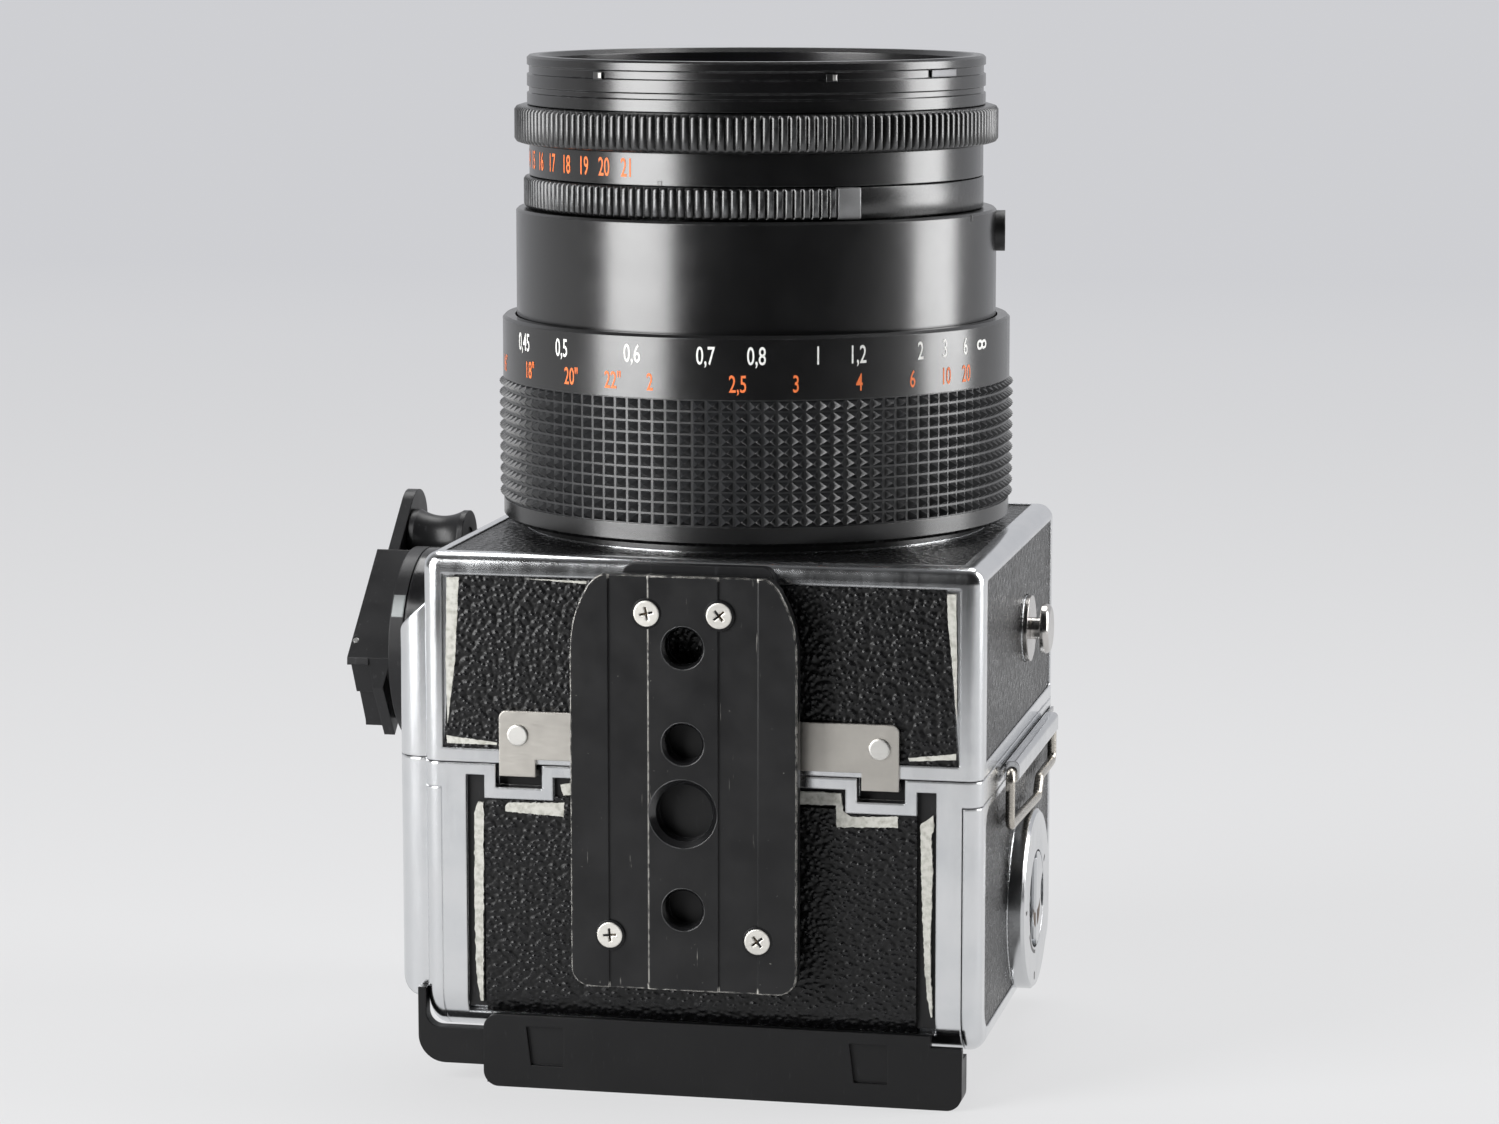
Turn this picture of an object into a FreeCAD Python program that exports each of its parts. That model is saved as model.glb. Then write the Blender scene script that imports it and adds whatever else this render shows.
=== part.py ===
import FreeCAD, Part
import math
import os

# A short-bodied medium format camera with a fixed wide lens, standing on its film magazine.
# Millimetres. +Z runs out along the lens axis, +Y to the camera's top, +X to its left side.
# The origin is where the lens axis meets the surface that the camera stands on.

Vector = FreeCAD.Vector
X_AXIS = Vector(1, 0, 0)
Y_AXIS = Vector(0, 1, 0)
Z_AXIS = Vector(0, 0, 1)

# Clearances that several pieces share
running_gap = 0.05
slide_gap = 0.3
seam_gap = 0.2
ring_gap = 0.2

# Camera body and magazine, outside
body_wide = 94.2
body_deep = 35.2
magazine_deep = 46.2
axis_above_base = 50.5
axis_off_centre = 0.8
edge_round = 2.6
back_round = 7.5
body_wall = 3.0
side_plate_thick = 3.2

# Leather panels and the chrome rims round them
leather_thick = 0.7
leather_sink = 0.9
leather_gap = 0.2
rim_right = 3.45
rim_left = 3.7
rim_front = 3.5
rim_seam = 2.3
side_rim_under = 5.0
side_rim_top = 4.0
side_rim_front = 2.6
under_shrink_right = 2.2
under_shrink_left = 2.4
magazine_rim_back = 3.6
magazine_rim_seam = 1.9
magazine_leather_below_seam = 5.2
magazine_rim_right = 7.4
magazine_rim_left = 7.4
magazine_shrink = 3.2
panel_round = 4.0
body_panel_round = 0.6

# Film gate and dark slide
gate_wide = 57.0
top_above_gate = 4.2
front_plate_thick = 4.2
slide_thick = 0.8
slide_past_gate = 2.0
slide_reach = 79.0
slide_below_seam = 1.6
slide_end_clear = 0.2

# Gear covers on the right side, and the winding gears under them
cover_stand = 5.6
cover_wall = 1.0
cover_inset = 3.0
cover_wide = 45.0
cover_above_seam = 26.6
cover_slope = 5.2
cover_above_back = 5.3
cover_round = 4.4
gear_module = 1.0
gear_thick = 2.2
crank_teeth = 12
idler_teeth = 12
drive_teeth = 18
mesh_gap = 0.12
gear_pin_radius = 1.5

# Winding crank
crank_from_axis = 17.0
crank_above_seam = 14.3
crank_radius = 16.7
crank_base_thick = 8.2
crank_disc_thick = 2.4
crank_raised = 5.1
arm_thick = 2.0
arm_lie_gap = 0.2
arm_half_wide = 5.6
arm_angle = 40.6
arm_hinge_back = 5.5
arm_tip_past_knob = 4.2
housing_rise = 3.8
housing_half_wide = 6.6
housing_back = 9.4
housing_front = 15.4
housing_nose = 0.9
housing_wall = 1.2
rest_below_arm = 10.7
rest_step = 1.4
rest_wide = 1.9
rest_scallop = 6.4
rest_scallop_deep = 0.8
rest_tooth = 0.4
heel_back = 12.3
heel_shoulder = 11.4
heel_bend = 1.0
heel_cut_back = 0.9
heel_undercut = 3.2
hinge_pin_radius = 0.55
knuckle_radius = 1.05
knuckle_web = 1.4
knob_from_hub = 24.0
knob_radius = 5.2
knob_waist = 4.1
knob_long = 10.2
knob_pin_radius = 1.2
shaft_radius = 2.5

# Hook plate on the underside
hook_thick = 0.8
hook_above_seam = 0.9
hook_tall = 8.1
hook_in_right = 13.4
hook_in_left = 13.5
hook_round = 1.2
tab_wide = 6.2
tab_below_seam = 1.8
toe_deep = 2.0
toe_tall = 1.1
notch_gap = 0.9
notch_below_seam = 3.9
notch_frame = 1.9
rivet_radius = 1.8
rivet_rise = 0.4
rivet_in = 3.2

# Quick-release plate and its backing
plate_wide = 37.6
plate_long = 68.6
plate_thick = 4.3
plate_off_axis = -0.4
plate_below_front = 1.9
plate_corner = 3.0
plate_shoulder_long = 12.2
plate_shoulder_in = 5.2
dovetail_depth = 1.5
groove_wide = 6.8
groove_deep = 0.4
groove_off_middle = 9.2
backing_thick = 2.2
backing_wide = 25.4
backing_long = 24.2
quarter_hole_radius = 3.175
three_eighth_radius = 4.76
three_eighth_flare = 1.0
low_hole_above_plate_foot = 13.5
large_hole_above_low = 16.0
middle_hole_above_large = 11.6
high_hole_above_middle = 15.9
screw_head_radius = 2.05
screw_head_tall = 1.2
screw_shank_radius = 1.1
screw_sink = 0.3
screw_gap = 0.2
top_screws_apart = 12.1
low_screws_apart = 24.8
top_screw_below_edge = 6.1
low_screw_above_foot = 8.7

# Dark slide holder under the magazine back
holder_thick = 8.5
holder_from_right = 10.4
holder_from_left = 2.7
holder_far_inset = 4.0
holder_lip_thick = 1.3
holder_lip_tall = 3.9
holder_band_deep = 5.0
holder_pocket_inset = 13.2
holder_round = 2.6
holder_end_long = 5.2
holder_end_tall = 2.0
holder_slot_tall = 1.6
holder_slot_wide = 63.0
holder_slot_deep = 70.0
holder_tab_wide = 6.4
holder_tab_taper = 0.8
holder_tab_tall = 6.6
holder_tab_above_foot = 3.9
holder_tab_from_end = 7.4
holder_tab_from_left = 12.4
holder_tab_sink = 0.6
holder_arm_thick = 1.4
holder_arm_wide = 2.4
holder_arm_rise = 7.4
holder_arm_foot = 5.4
holder_arm_foot_thick = 6.1
holder_arm_round = 4.6
holder_arm_round_in = 2.4

# Lens, from the body outwards
barrel_radius = 41.45
flange_past_tube = 1.5
flange_thick = 1.0
flange_past_cell = 2.0
tube_wall = 2.9
tube_past_guide = 0.3
tube_long = 15.0
focus_past_barrel = 2.45
focus_above_flange = 0.3
focus_skirt = 3.3
grip_long = 21.0
grip_past_focus = 0.7
grip_seat = 1.5
grip_rows = 10
grip_groove = 0.5
focus_band = 10.6
focus_bore_gap = 0.3
barrel_long = 18.2
barrel_wall = 2.0
barrel_inside = 12.6
barrel_top_thick = 3.0
guide_in_barrel = 5.75
guide_above_flange = 4.6
neck_in_barrel = 6.25
neck_wall = 3.0
aperture_ring_long = 5.3
aperture_in_barrel = 1.35
aperture_ribs_rise = 0.9
aperture_ribs_start = 150.0
aperture_ribs_turn = 151.4
thumb_tab_wide = 4.0
ev_ring_long = 5.3
ev_in_barrel = 2.35
shutter_ring_long = 6.4
shutter_past_barrel = 0.2
rib_pitch = 2.0
rib_deep = 0.6
bezel_long = 8.3
bezel_in_barrel = 2.0
bezel_wall = 2.85
bezel_bore_deep = 6.0
bezel_lip = 0.8
bezel_groove = 0.35
funnel_in_bezel = 12.4
funnel_deep = 7.4
funnel_land = 2.5
socket_radius = 3.5
socket_wall = 1.2
socket_seat = 0.2
socket_pin_radius = 0.7
socket_stand = 1.5
socket_below_top = 4.0
socket_bearing = 8.0

# Glass and iris
front_glass_edge = 3.0
front_glass_dome = 5.0
rear_cell_in_bore = 8.2
rear_cell_wall = 3.0
rear_cell_end_above_seam = 12.6
rear_glass_edge = 3.0
rear_glass_dome = 4.0
iris_blades = 5
iris_above_body = 38.0
iris_plate_thick = 1.5
iris_room = 3.6
iris_wall = 3.8
blade_pivot_in_room = 3.9
iris_open_in_pivot = 6.5
blade_pin_radius = 0.8
blade_thick = 0.25
blade_step = 0.6
blade_arc = 96.0
blade_half_wide = 3.1

# Strap lugs
lug_flange_radius = 5.7
lug_flange_thick = 0.8
lug_post_radius = 1.9
lug_head_radius = 4.3
lug_head_thick = 1.5
lug_stand = 4.2
lug_above_seam = 17.6
left_lug_from_axis = -0.2
right_lug_from_axis = 22.0

# Key disc, slide grip and bail on the left side
disc_radius = 15.6
disc_thick = 2.7
disc_from_axis = -4.5
disc_above_back = 17.1
disc_pin_radius = 3.0
disc_pin_long = 4.0
key_radius = 8.2
key_thick = 1.0
key_sink = 1.3
key_notch_radius = 3.2
grip_long_y = 47.0
grip_deep = 2.6
grip_tall = 3.6
grip_off_axis = -3.5
grip_round = 0.9
bail_wire = 0.8
bail_bend = 1.5
bail_drop = 9.0
bail_step = 1.8
bail_dip = 1.2
bail_jog_from_axis = 3.5
bail_jog_long = 3.0
bail_overhang = 1.6
bail_bite = 2.4

# Top side
button_radius = 4.0
button_stem_radius = 3.0
button_stand = 3.6
button_head_tall = 1.6
button_stem_long = 8.0
button_off_axis = -27.0
button_below_front = 12.0
collar_radius = 6.2
collar_tall = 1.6
shoe_wide = 21.6
shoe_long = 20.0
shoe_base_thick = 1.6
shoe_rail_tall = 2.4
shoe_rail_thick = 1.4
shoe_lip = 2.0
shoe_off_axis = 2.0
level_radius = 5.4
level_tall = 2.4
level_glass_radius = 4.0
level_off_axis = 33.0
catch_wide = 14.0
catch_long = 5.0
catch_stand = 2.6
catch_travel = 3.5
catch_below_seam = 9.0
catch_foot_wide = 22.0
catch_foot_thick = 0.8

# Magazine winding key and frame window on the right side
wind_key_radius = 6.4
wind_key_above_back = 15.5
wind_key_from_axis = 24.0
wind_key_sink = 1.6
wind_key_disc_thick = 1.0
wind_key_bar_long = 11.0
wind_key_bar_wide = 2.6
wind_key_bar_rise = 0.8
wind_key_pin_long = 3.0
window_radius = 2.6
window_from_axis = 12.0

# Film insert
insert_rim_front = 1.4
insert_gap = 0.8
insert_wall = 1.6
spool_radius = 12.4
spool_core = 4.2
spool_flange = 0.8
spool_long = 62.6
spool_pin_radius = 1.95
spool_pin_bite = 4.0
spool_above_back = 18.5
near_spool_from_axis = 33.0
far_spool_from_axis = 15.4
roller_radius = 2.6
roller_below_gate = 4.4
roller_inset = 5.0
pressure_plate_thick = 1.4
pressure_plate_past_gate = 1.5
pressure_plate_in_gate = 0.5

# Places worked out from the sizes above
x_right = axis_off_centre - body_wide / 2
x_left = axis_off_centre + body_wide / 2
y_under = -axis_above_base
y_top = gate_wide / 2 + top_above_gate
z_back = holder_thick
z_seam = z_back + magazine_deep
z_body = z_seam + seam_gap
z_front = z_seam + body_deep
z_gate = z_seam - front_plate_thick
x_insert_seam = x_left - side_plate_thick
x_cover_seam = x_right + side_plate_thick
x_cover = x_right - cover_stand
cover_y0 = y_under + cover_inset
cover_y1 = cover_y0 + cover_wide
cover_z0 = z_back + cover_above_back
cover_z1 = z_seam + cover_above_seam
crank_y = -crank_from_axis
crank_z = z_seam + crank_above_seam
x_crank_base = x_right - crank_base_thick
x_crank_disc = x_crank_base - seam_gap
x_crank_step = x_crank_disc - crank_disc_thick
x_crank_raised = x_crank_step - crank_raised
x_arm = x_crank_raised - arm_lie_gap
idler_z = crank_z - gear_module * (crank_teeth + idler_teeth) / 2 - mesh_gap
drive_z = idler_z - gear_module * (idler_teeth + drive_teeth) / 2 - mesh_gap
x_gear = x_right - (cover_stand - cover_wall) / 2 - gear_thick / 2
panel_x0 = x_right + rim_right
panel_x1 = x_left - rim_left
panel_z0 = z_body + rim_seam
panel_z1 = z_front - rim_front
plate_back = y_under - backing_thick
plate_face = plate_back - plate_thick
plate_top = z_front - plate_below_front
plate_foot = plate_top - plate_long
guide_radius = barrel_radius - guide_in_barrel
neck_radius = barrel_radius - neck_in_barrel
lens_bore = neck_radius - neck_wall
tube_bore = guide_radius + tube_past_guide
tube_radius = tube_bore + tube_wall
flange_radius = tube_radius + flange_past_tube
focus_bore = barrel_radius + focus_bore_gap
focus_radius = barrel_radius + focus_past_barrel
grip_radius = focus_radius + grip_past_focus
aperture_ring_radius = barrel_radius - aperture_in_barrel
aperture_plain_radius = aperture_ring_radius - aperture_ribs_rise
ev_ring_radius = barrel_radius - ev_in_barrel
shutter_ring_radius = barrel_radius + shutter_past_barrel
bezel_radius = barrel_radius - bezel_in_barrel
bezel_bore = bezel_radius - bezel_wall
funnel_bore = bezel_bore - funnel_in_bezel
rear_cell_radius = lens_bore - rear_cell_in_bore
flange_bore = rear_cell_radius + flange_past_cell
iris_room_radius = lens_bore - iris_wall
blade_pivot_radius = iris_room_radius - blade_pivot_in_room
iris_open_radius = blade_pivot_radius - iris_open_in_pivot
z_flange = z_front + flange_thick
z_focus = z_flange + focus_above_flange
z_grip = z_focus + focus_skirt
z_band = z_grip + grip_long
z_focus_top = z_band + focus_band
z_tube_top = z_flange + tube_long
z_barrel = z_focus_top + ring_gap
z_barrel_top = z_barrel + barrel_long
z_aperture = z_barrel_top + ring_gap
z_ev = z_aperture + aperture_ring_long + ring_gap
z_shutter = z_ev + ev_ring_long + ring_gap
z_bezel = z_shutter + shutter_ring_long + ring_gap
z_tip = z_bezel + bezel_long
z_glass = z_tip - bezel_bore_deep - funnel_deep - funnel_land
z_iris = z_front + iris_above_body
button_z = z_front - button_below_front
lug_z = z_seam + lug_above_seam
disc_z = z_back + disc_above_back
insert_y0 = y_under + body_wall + insert_gap
insert_y1 = y_top - body_wall - insert_gap
insert_x0 = x_cover_seam + body_wall + insert_gap
insert_z0 = z_back + body_wall + insert_gap
insert_z1 = z_gate - insert_gap
spool_z = z_back + spool_above_back
slide_z = z_seam - slide_below_seam - slide_thick
wind_key_z = z_back + wind_key_above_back
wind_key_y = -wind_key_from_axis


def block(x0, x1, y0, y1, z0, z1):
    return Part.makeBox(x1 - x0, y1 - y0, z1 - z0, Vector(x0, y0, z0))


def drum(radius, length, base, axis=Z_AXIS):
    return Part.makeCylinder(radius, length, base, axis)


def turned(outline):
    """Revolve an outline of (radius, height) points about the lens axis."""
    points = [Vector(radius, 0, height) for radius, height in outline]
    return Part.Face(Part.makePolygon(points + points[:1])).revolve(Vector(0, 0, 0), Z_AXIS, 360)


def ring(outer, inner, low, high):
    return turned([(inner, low), (outer, low), (outer, high), (inner, high)])


def prism(points, push):
    """Push a flat outline along a vector."""
    return Part.Face(Part.makePolygon(points + points[:1])).extrude(push)


def edges_along(shape, axis):
    """The straight edges of a shape that run along an axis."""
    straight = [edge for edge in shape.Edges if edge.Curve.TypeId == "Part::GeomLine"]
    return [edge for edge in straight if abs(edge.tangentAt(edge.FirstParameter).dot(axis)) > 0.999]


def edges_at(shape, direction, height):
    """The edges of a shape that lie wholly at one height along a direction."""
    def lies_there(edge):
        return all(abs(vertex.Point.dot(direction) - height) < 0.001 for vertex in edge.Vertexes)
    return [edge for edge in shape.Edges if lies_there(edge)]


def soft_block(x0, x1, y0, y1, z0, z1, radius, axis):
    """A block whose four edges along one axis are rounded."""
    solid = block(x0, x1, y0, y1, z0, z1)
    return solid.makeFillet(radius, edges_along(solid, axis))


def fused(shapes):
    whole = shapes[0].multiFuse(shapes[1:])
    return whole.removeSplitter()


def cut_all(shape, tools):
    for tool in tools:
        shape = shape.cut(tool)
    return shape


def lens_shape(radius, low, edge, dome):
    """A glass disc with a flat back and a domed front."""
    sphere_radius = (radius ** 2 + dome ** 2) / (2 * dome)
    top = low + edge + dome
    arc = Part.Arc(Vector(radius, 0, low + edge),
                   Vector(sphere_radius * math.sin(math.asin(radius / sphere_radius) / 2), 0,
                          top - sphere_radius * (1 - math.cos(math.asin(radius / sphere_radius) / 2))),
                   Vector(0, 0, top)).toShape()
    corners = [Vector(0, 0, top), Vector(0, 0, low), Vector(radius, 0, low), Vector(radius, 0, low + edge)]
    sides = [Part.makeLine(corners[number], corners[number + 1]) for number in range(3)]
    face = Part.Face(Part.Wire(Part.__sortEdges__(sides + [arc])))
    return face.revolve(Vector(0, 0, 0), Z_AXIS, 360)


def toothed(teeth, x0, height, clock):
    """A gear with straight-flanked teeth on an axis along X, at the crank's distance from the lens axis."""
    pitch_radius = gear_module * teeth / 2
    root = pitch_radius - 1.15 * gear_module
    tip = pitch_radius + 0.85 * gear_module
    step = 2 * math.pi / teeth
    points = []
    for number in range(teeth):
        for radius, share in ((root, -0.3), (tip, -0.1), (tip, 0.1), (root, 0.3)):
            angle = clock + (number + share) * step
            points.append(Vector(x0, crank_y + radius * math.cos(angle), height + radius * math.sin(angle)))
    return prism(points, X_AXIS * gear_thick)


def grooved_ring(outer, inner, low, high, start, turn):
    """A ring with upright V grooves round its rim, over part of a turn or all of it."""
    step = rib_pitch / outer
    count = int(math.radians(turn) / step)
    if turn >= 360:
        step = 2 * math.pi / count
        points = []
        for number in range(count):
            for radius, share in ((outer - rib_deep, 0.0), (outer, 0.3), (outer, 0.7)):
                angle = (number + share) * step
                points.append(Vector(radius * math.cos(angle), radius * math.sin(angle), low))
        return prism(points, Z_AXIS * (high - low)).cut(drum(inner, high - low, Vector(0, 0, low)))
    first = math.radians(start)
    beyond = outer + 2
    points = []
    for number in range(count):
        for radius, share in ((outer - rib_deep, 0.0), (outer + 0.01, 0.3), (outer + 0.01, 0.7)):
            angle = first + (number + share) * step
            points.append(Vector(radius * math.cos(angle), radius * math.sin(angle), low))
    last = first + count * step
    for number in range(13):
        angle = last - (last - first) * number / 12
        points.append(Vector(beyond * math.cos(angle), beyond * math.sin(angle), low))
    return ring(outer, inner, low, high).cut(prism(points, Z_AXIS * (high - low)))


def magazine_slab(x0, x1, z1):
    """A slice of the magazine between two planes across X, with its two back corners rounded."""
    slab = block(x0, x1, y_under, y_top, z_back, z1)
    back = [edge for edge in edges_along(slab, X_AXIS) if abs(edge.Vertexes[0].Z - z_back) < 0.001]
    return slab.makeFillet(back_round, back)


def magazine_core(sink):
    """The magazine's outline, smaller by one depth all round, to give its coverings a depth."""
    core = block(x_right, x_left, y_under + sink, y_top - sink, z_back + sink, z_seam)
    back = [edge for edge in edges_along(core, X_AXIS) if abs(edge.Vertexes[0].Z - z_back - sink) < 0.001]
    return core.makeFillet(back_round - sink, back)


def body_panel(x0, x1, shrink):
    return soft_block(x0, x1, y_under + side_rim_under + shrink, y_top - side_rim_top - shrink,
                      panel_z0 + shrink, z_front - side_rim_front - shrink, body_panel_round, X_AXIS)


def crank_footprint(grow, x0, x1):
    return drum(crank_radius + grow, x1 - x0, Vector(x0, crank_y, crank_z), X_AXIS)


def top_footprints(grow, y0, y1):
    """What stands on the top face, as plain shapes, so that the leather leaves room for it."""
    button = drum(collar_radius + grow, y1 - y0, Vector(button_off_axis, y0, button_z), Y_AXIS)
    level = drum(level_radius + grow, y1 - y0, Vector(level_off_axis, y0, button_z), Y_AXIS)
    shoe_x0 = shoe_off_axis - shoe_wide / 2 - grow
    shoe_z0 = button_z - shoe_long / 2 - grow
    shoe = block(shoe_x0, shoe_x0 + shoe_wide + 2 * grow, y0, y1, shoe_z0, shoe_z0 + shoe_long + 2 * grow)
    return [button, level, shoe]


def lug_footprint(x0, y, grow):
    return drum(lug_flange_radius + grow, 4.0, Vector(x0, y, lug_z), X_AXIS)


def under_recess():
    return block(panel_x0, panel_x1, y_under - 1, y_under + leather_sink, panel_z0, panel_z1)


def top_recess():
    recess = block(panel_x0, panel_x1, y_top - leather_sink, y_top + 1, panel_z0, panel_z1)
    return cut_all(recess, top_footprints(0, y_top - 2, y_top + 2))


def left_recess():
    recess = body_panel(x_left - leather_sink, x_left + 1, 0)
    return recess.cut(lug_footprint(x_left - 2, left_lug_from_axis, 0))


def right_recess():
    recess = body_panel(x_right - 1, x_right + leather_sink, 0)
    cover = block(x_right - 2, x_right + 2, cover_y0 - 2, cover_y1, z_body - 1, cover_z1)
    return cut_all(recess, [cover, crank_footprint(0, x_right - 2, x_right + 2),
                            lug_footprint(x_right - 2, right_lug_from_axis, 0)])


def front_recess():
    recess = block(panel_x0, panel_x1, y_under + rim_front, y_top - rim_front, z_front - leather_sink,
                   z_front + 1)
    return recess.cut(drum(flange_radius, 4, Vector(0, 0, z_front - 2)))


def body_shell():
    outer = block(x_right, x_left, y_under, y_top, z_body, z_front)
    outer = outer.makeFillet(edge_round, edges_along(outer, Z_AXIS) + edges_at(outer, Z_AXIS, z_front))
    room = block(x_right + body_wall, x_left - body_wall, y_under + body_wall, y_top - body_wall,
                 z_body + body_wall, z_front - body_wall)
    half_gate = gate_wide / 2
    window = block(-half_gate, half_gate, -half_gate, half_gate, z_body - 1, z_body + body_wall + 1)
    bore = drum(flange_bore, body_wall + 2, Vector(0, 0, z_front - body_wall - 1))
    shaft_hole = drum(shaft_radius + running_gap, body_wall + 2, Vector(x_right - 1, crank_y, crank_z),
                      X_AXIS)
    stem_hole = drum(button_stem_radius + running_gap, body_wall + 2,
                     Vector(button_off_axis, y_top - body_wall - 1, button_z), Y_AXIS)
    recesses = [under_recess(), top_recess(), left_recess(), right_recess(), front_recess()]
    return cut_all(outer, [room, window, bore, shaft_hole, stem_hole] + recesses)


def body_leather_under():
    low, high = panel_z0 + leather_gap, panel_z1 - leather_gap
    outline = [(panel_x0 + leather_gap, low), (panel_x1 - leather_gap, low),
               (panel_x1 - under_shrink_left, high), (panel_x0 + under_shrink_right, high)]
    y0 = y_under + leather_sink - leather_thick
    return prism([Vector(x, y0, z) for x, z in outline], Y_AXIS * leather_thick)


def body_leather_top():
    y0 = y_top - leather_sink
    sheet = block(panel_x0 + leather_gap, panel_x1 - leather_gap, y0, y0 + leather_thick,
                  panel_z0 + leather_gap, panel_z1 - leather_gap)
    return cut_all(sheet, top_footprints(leather_gap, y_top - 2, y_top + 2))


def body_leather_left():
    x0 = x_left - leather_sink
    sheet = body_panel(x0, x0 + leather_thick, leather_gap)
    return sheet.cut(lug_footprint(x_left - 2, left_lug_from_axis, leather_gap))


def body_leather_right():
    cover = block(x_right - 2, x_right + 2, cover_y0 - 3, cover_y1 + leather_gap, z_body - 1,
                  cover_z1 + leather_gap)
    x1 = x_right + leather_sink
    return cut_all(body_panel(x1 - leather_thick, x1, leather_gap),
                   [cover, crank_footprint(leather_gap, x_right - 2, x_right + 2),
                    lug_footprint(x_right - 2, right_lug_from_axis, leather_gap)])


def body_leather_front():
    z0 = z_front - leather_sink
    sheet = block(panel_x0 + leather_gap, panel_x1 - leather_gap, y_under + rim_front + leather_gap,
                  y_top - rim_front - leather_gap, z0, z0 + leather_thick)
    return sheet.cut(drum(flange_radius + leather_gap, 4, Vector(0, 0, z_front - 2)))


def rounded_cover(z0, z1, slope, open_end):
    """A gear cover with rounded outer edges, square where it meets the seam, whose top may slope outwards."""
    corners = [(x_cover, z0), (x_right, z0), (x_right, z1), (x_cover, z1 - slope)]
    solid = prism([Vector(x, cover_y0, z) for x, z in corners], Y_AXIS * (cover_y1 - cover_y0))
    outer = [edge for edge in solid.Edges if all(abs(vertex.X - x_cover) < 0.001 for vertex in edge.Vertexes)]
    rim = [edge for edge in outer if not all(abs(vertex.Z - open_end) < 0.001 for vertex in edge.Vertexes)]
    return solid.makeFillet(cover_round, rim)


def gear_room(z0, z1):
    """The space under a gear cover."""
    half = gear_module * drive_teeth / 2 + gear_module + 1.2
    return block(x_cover + cover_wall, x_right, crank_y - half, crank_y + half, z0, z1)


def body_gear_cover():
    """The body's half of the gear cover, with the crank's round base and the idler's pin."""
    base = crank_footprint(0, x_crank_base, x_right)
    reach = 2 * crank_radius
    below = block(x_crank_base - 1, x_right + 1, crank_y - reach, crank_y + reach, z_body - reach, z_body)
    room = gear_room(z_body - 1, crank_z + gear_module * (crank_teeth + 2) / 2 + ring_gap)
    shaft = drum(shaft_radius + running_gap, crank_base_thick + 2,
                 Vector(x_crank_base - 1, crank_y, crank_z), X_AXIS)
    cover = cut_all(fused([rounded_cover(z_body, cover_z1, cover_slope, z_body), base.cut(below)]),
                    [room, shaft])
    return fused([cover, cover_pin(idler_z)])


def cover_pin(height):
    """A pin inside a gear cover for the gear at one height."""
    return drum(gear_pin_radius, cover_stand - cover_wall,
                Vector(x_cover + cover_wall, crank_y, height), X_AXIS)


def arm_frame(along, across, x):
    """A point on the crank, from its distance along and across the arm."""
    angle = math.radians(arm_angle)
    return Vector(x, crank_y + along * math.cos(angle) - across * math.sin(angle),
                  crank_z + along * math.sin(angle) + across * math.cos(angle))


def arm_slab(along0, along1, half_wide, x0, x1):
    corners = [(along0, -half_wide), (along1, -half_wide), (along1, half_wide), (along0, half_wide)]
    return prism([arm_frame(along, across, x0) for along, across in corners], X_AXIS * (x1 - x0))


def crank_housing():
    """The housing on the hub that the arm folds into, with a scalloped rest for the thumb at its near end."""
    crest = x_crank_raised - housing_rise
    nose = housing_back + housing_nose
    upper = [(housing_front, -housing_half_wide), (housing_front, housing_half_wide),
             (-housing_back, housing_half_wide), (-nose, housing_half_wide - housing_nose)]
    low = housing_half_wide - housing_nose - rest_step
    for number in range(2):
        upper += [(-housing_back + rest_scallop_deep, low),
                  (-housing_back - rest_tooth, low - rest_scallop)]
        low -= rest_scallop + rest_step
    shoulder = [(-housing_back + rest_wide, -rest_below_arm), (-arm_hinge_back, -housing_half_wide)]
    upper += [(-nose, -rest_below_arm)] + shoulder
    lower = [(housing_front, -housing_half_wide), (housing_front, housing_half_wide),
             (-housing_back, housing_half_wide), (-heel_shoulder, heel_bend),
             (-heel_back, -rest_below_arm)] + shoulder
    return fused([prism([arm_frame(along, across, crest) for along, across in upper],
                        X_AXIS * housing_rise),
                  prism([arm_frame(along, across, x_crank_raised) for along, across in lower],
                        X_AXIS * (crank_raised + 0.1))])


def heel_undercut_shape():
    """The hollow under the near end of the housing, where a nail gets hold of it."""
    x1 = x_crank_step
    corners = [(housing_half_wide + 1, x1), (housing_half_wide, x1 - 1), (heel_bend, x1 - heel_undercut),
               (-rest_below_arm - 1, x1 - heel_undercut), (-rest_below_arm - 1, x1)]
    start = -heel_back - 1
    push = arm_frame(-housing_back + heel_cut_back, 0, 0) - arm_frame(start, 0, 0)
    return prism([arm_frame(start, across, x) for across, x in corners], push)


def crank_hub():
    """The turning part of the crank: a disc and the housing that the arm lies in."""
    disc = drum(crank_radius, crank_disc_thick, Vector(x_crank_step, crank_y, crank_z), X_AXIS)
    housing = crank_housing().cut(heel_undercut_shape())
    reach = 2 * crank_radius
    half = arm_half_wide + running_gap
    trough = arm_slab(-housing_back + housing_wall, reach, half, x_crank_raised - housing_rise - 1,
                      x_crank_raised)
    return fused([disc, housing]).cut(trough).cut(hinge_pin_shape(hinge_pin_radius, reach))


def hinge_x():
    """The hinge's distance, from which the arm folds half a turn and still clears the housing's crest."""
    return (x_crank_raised - housing_rise - arm_lie_gap + x_arm - arm_thick) / 2


def hinge_pin_shape(radius, half_long):
    start = arm_frame(-arm_hinge_back, -half_long, hinge_x())
    end = arm_frame(-arm_hinge_back, half_long, hinge_x())
    return Part.makeCylinder(radius, (end - start).Length, start, end - start)


def crank_hinge_pin():
    return hinge_pin_shape(hinge_pin_radius, housing_half_wide)


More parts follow.
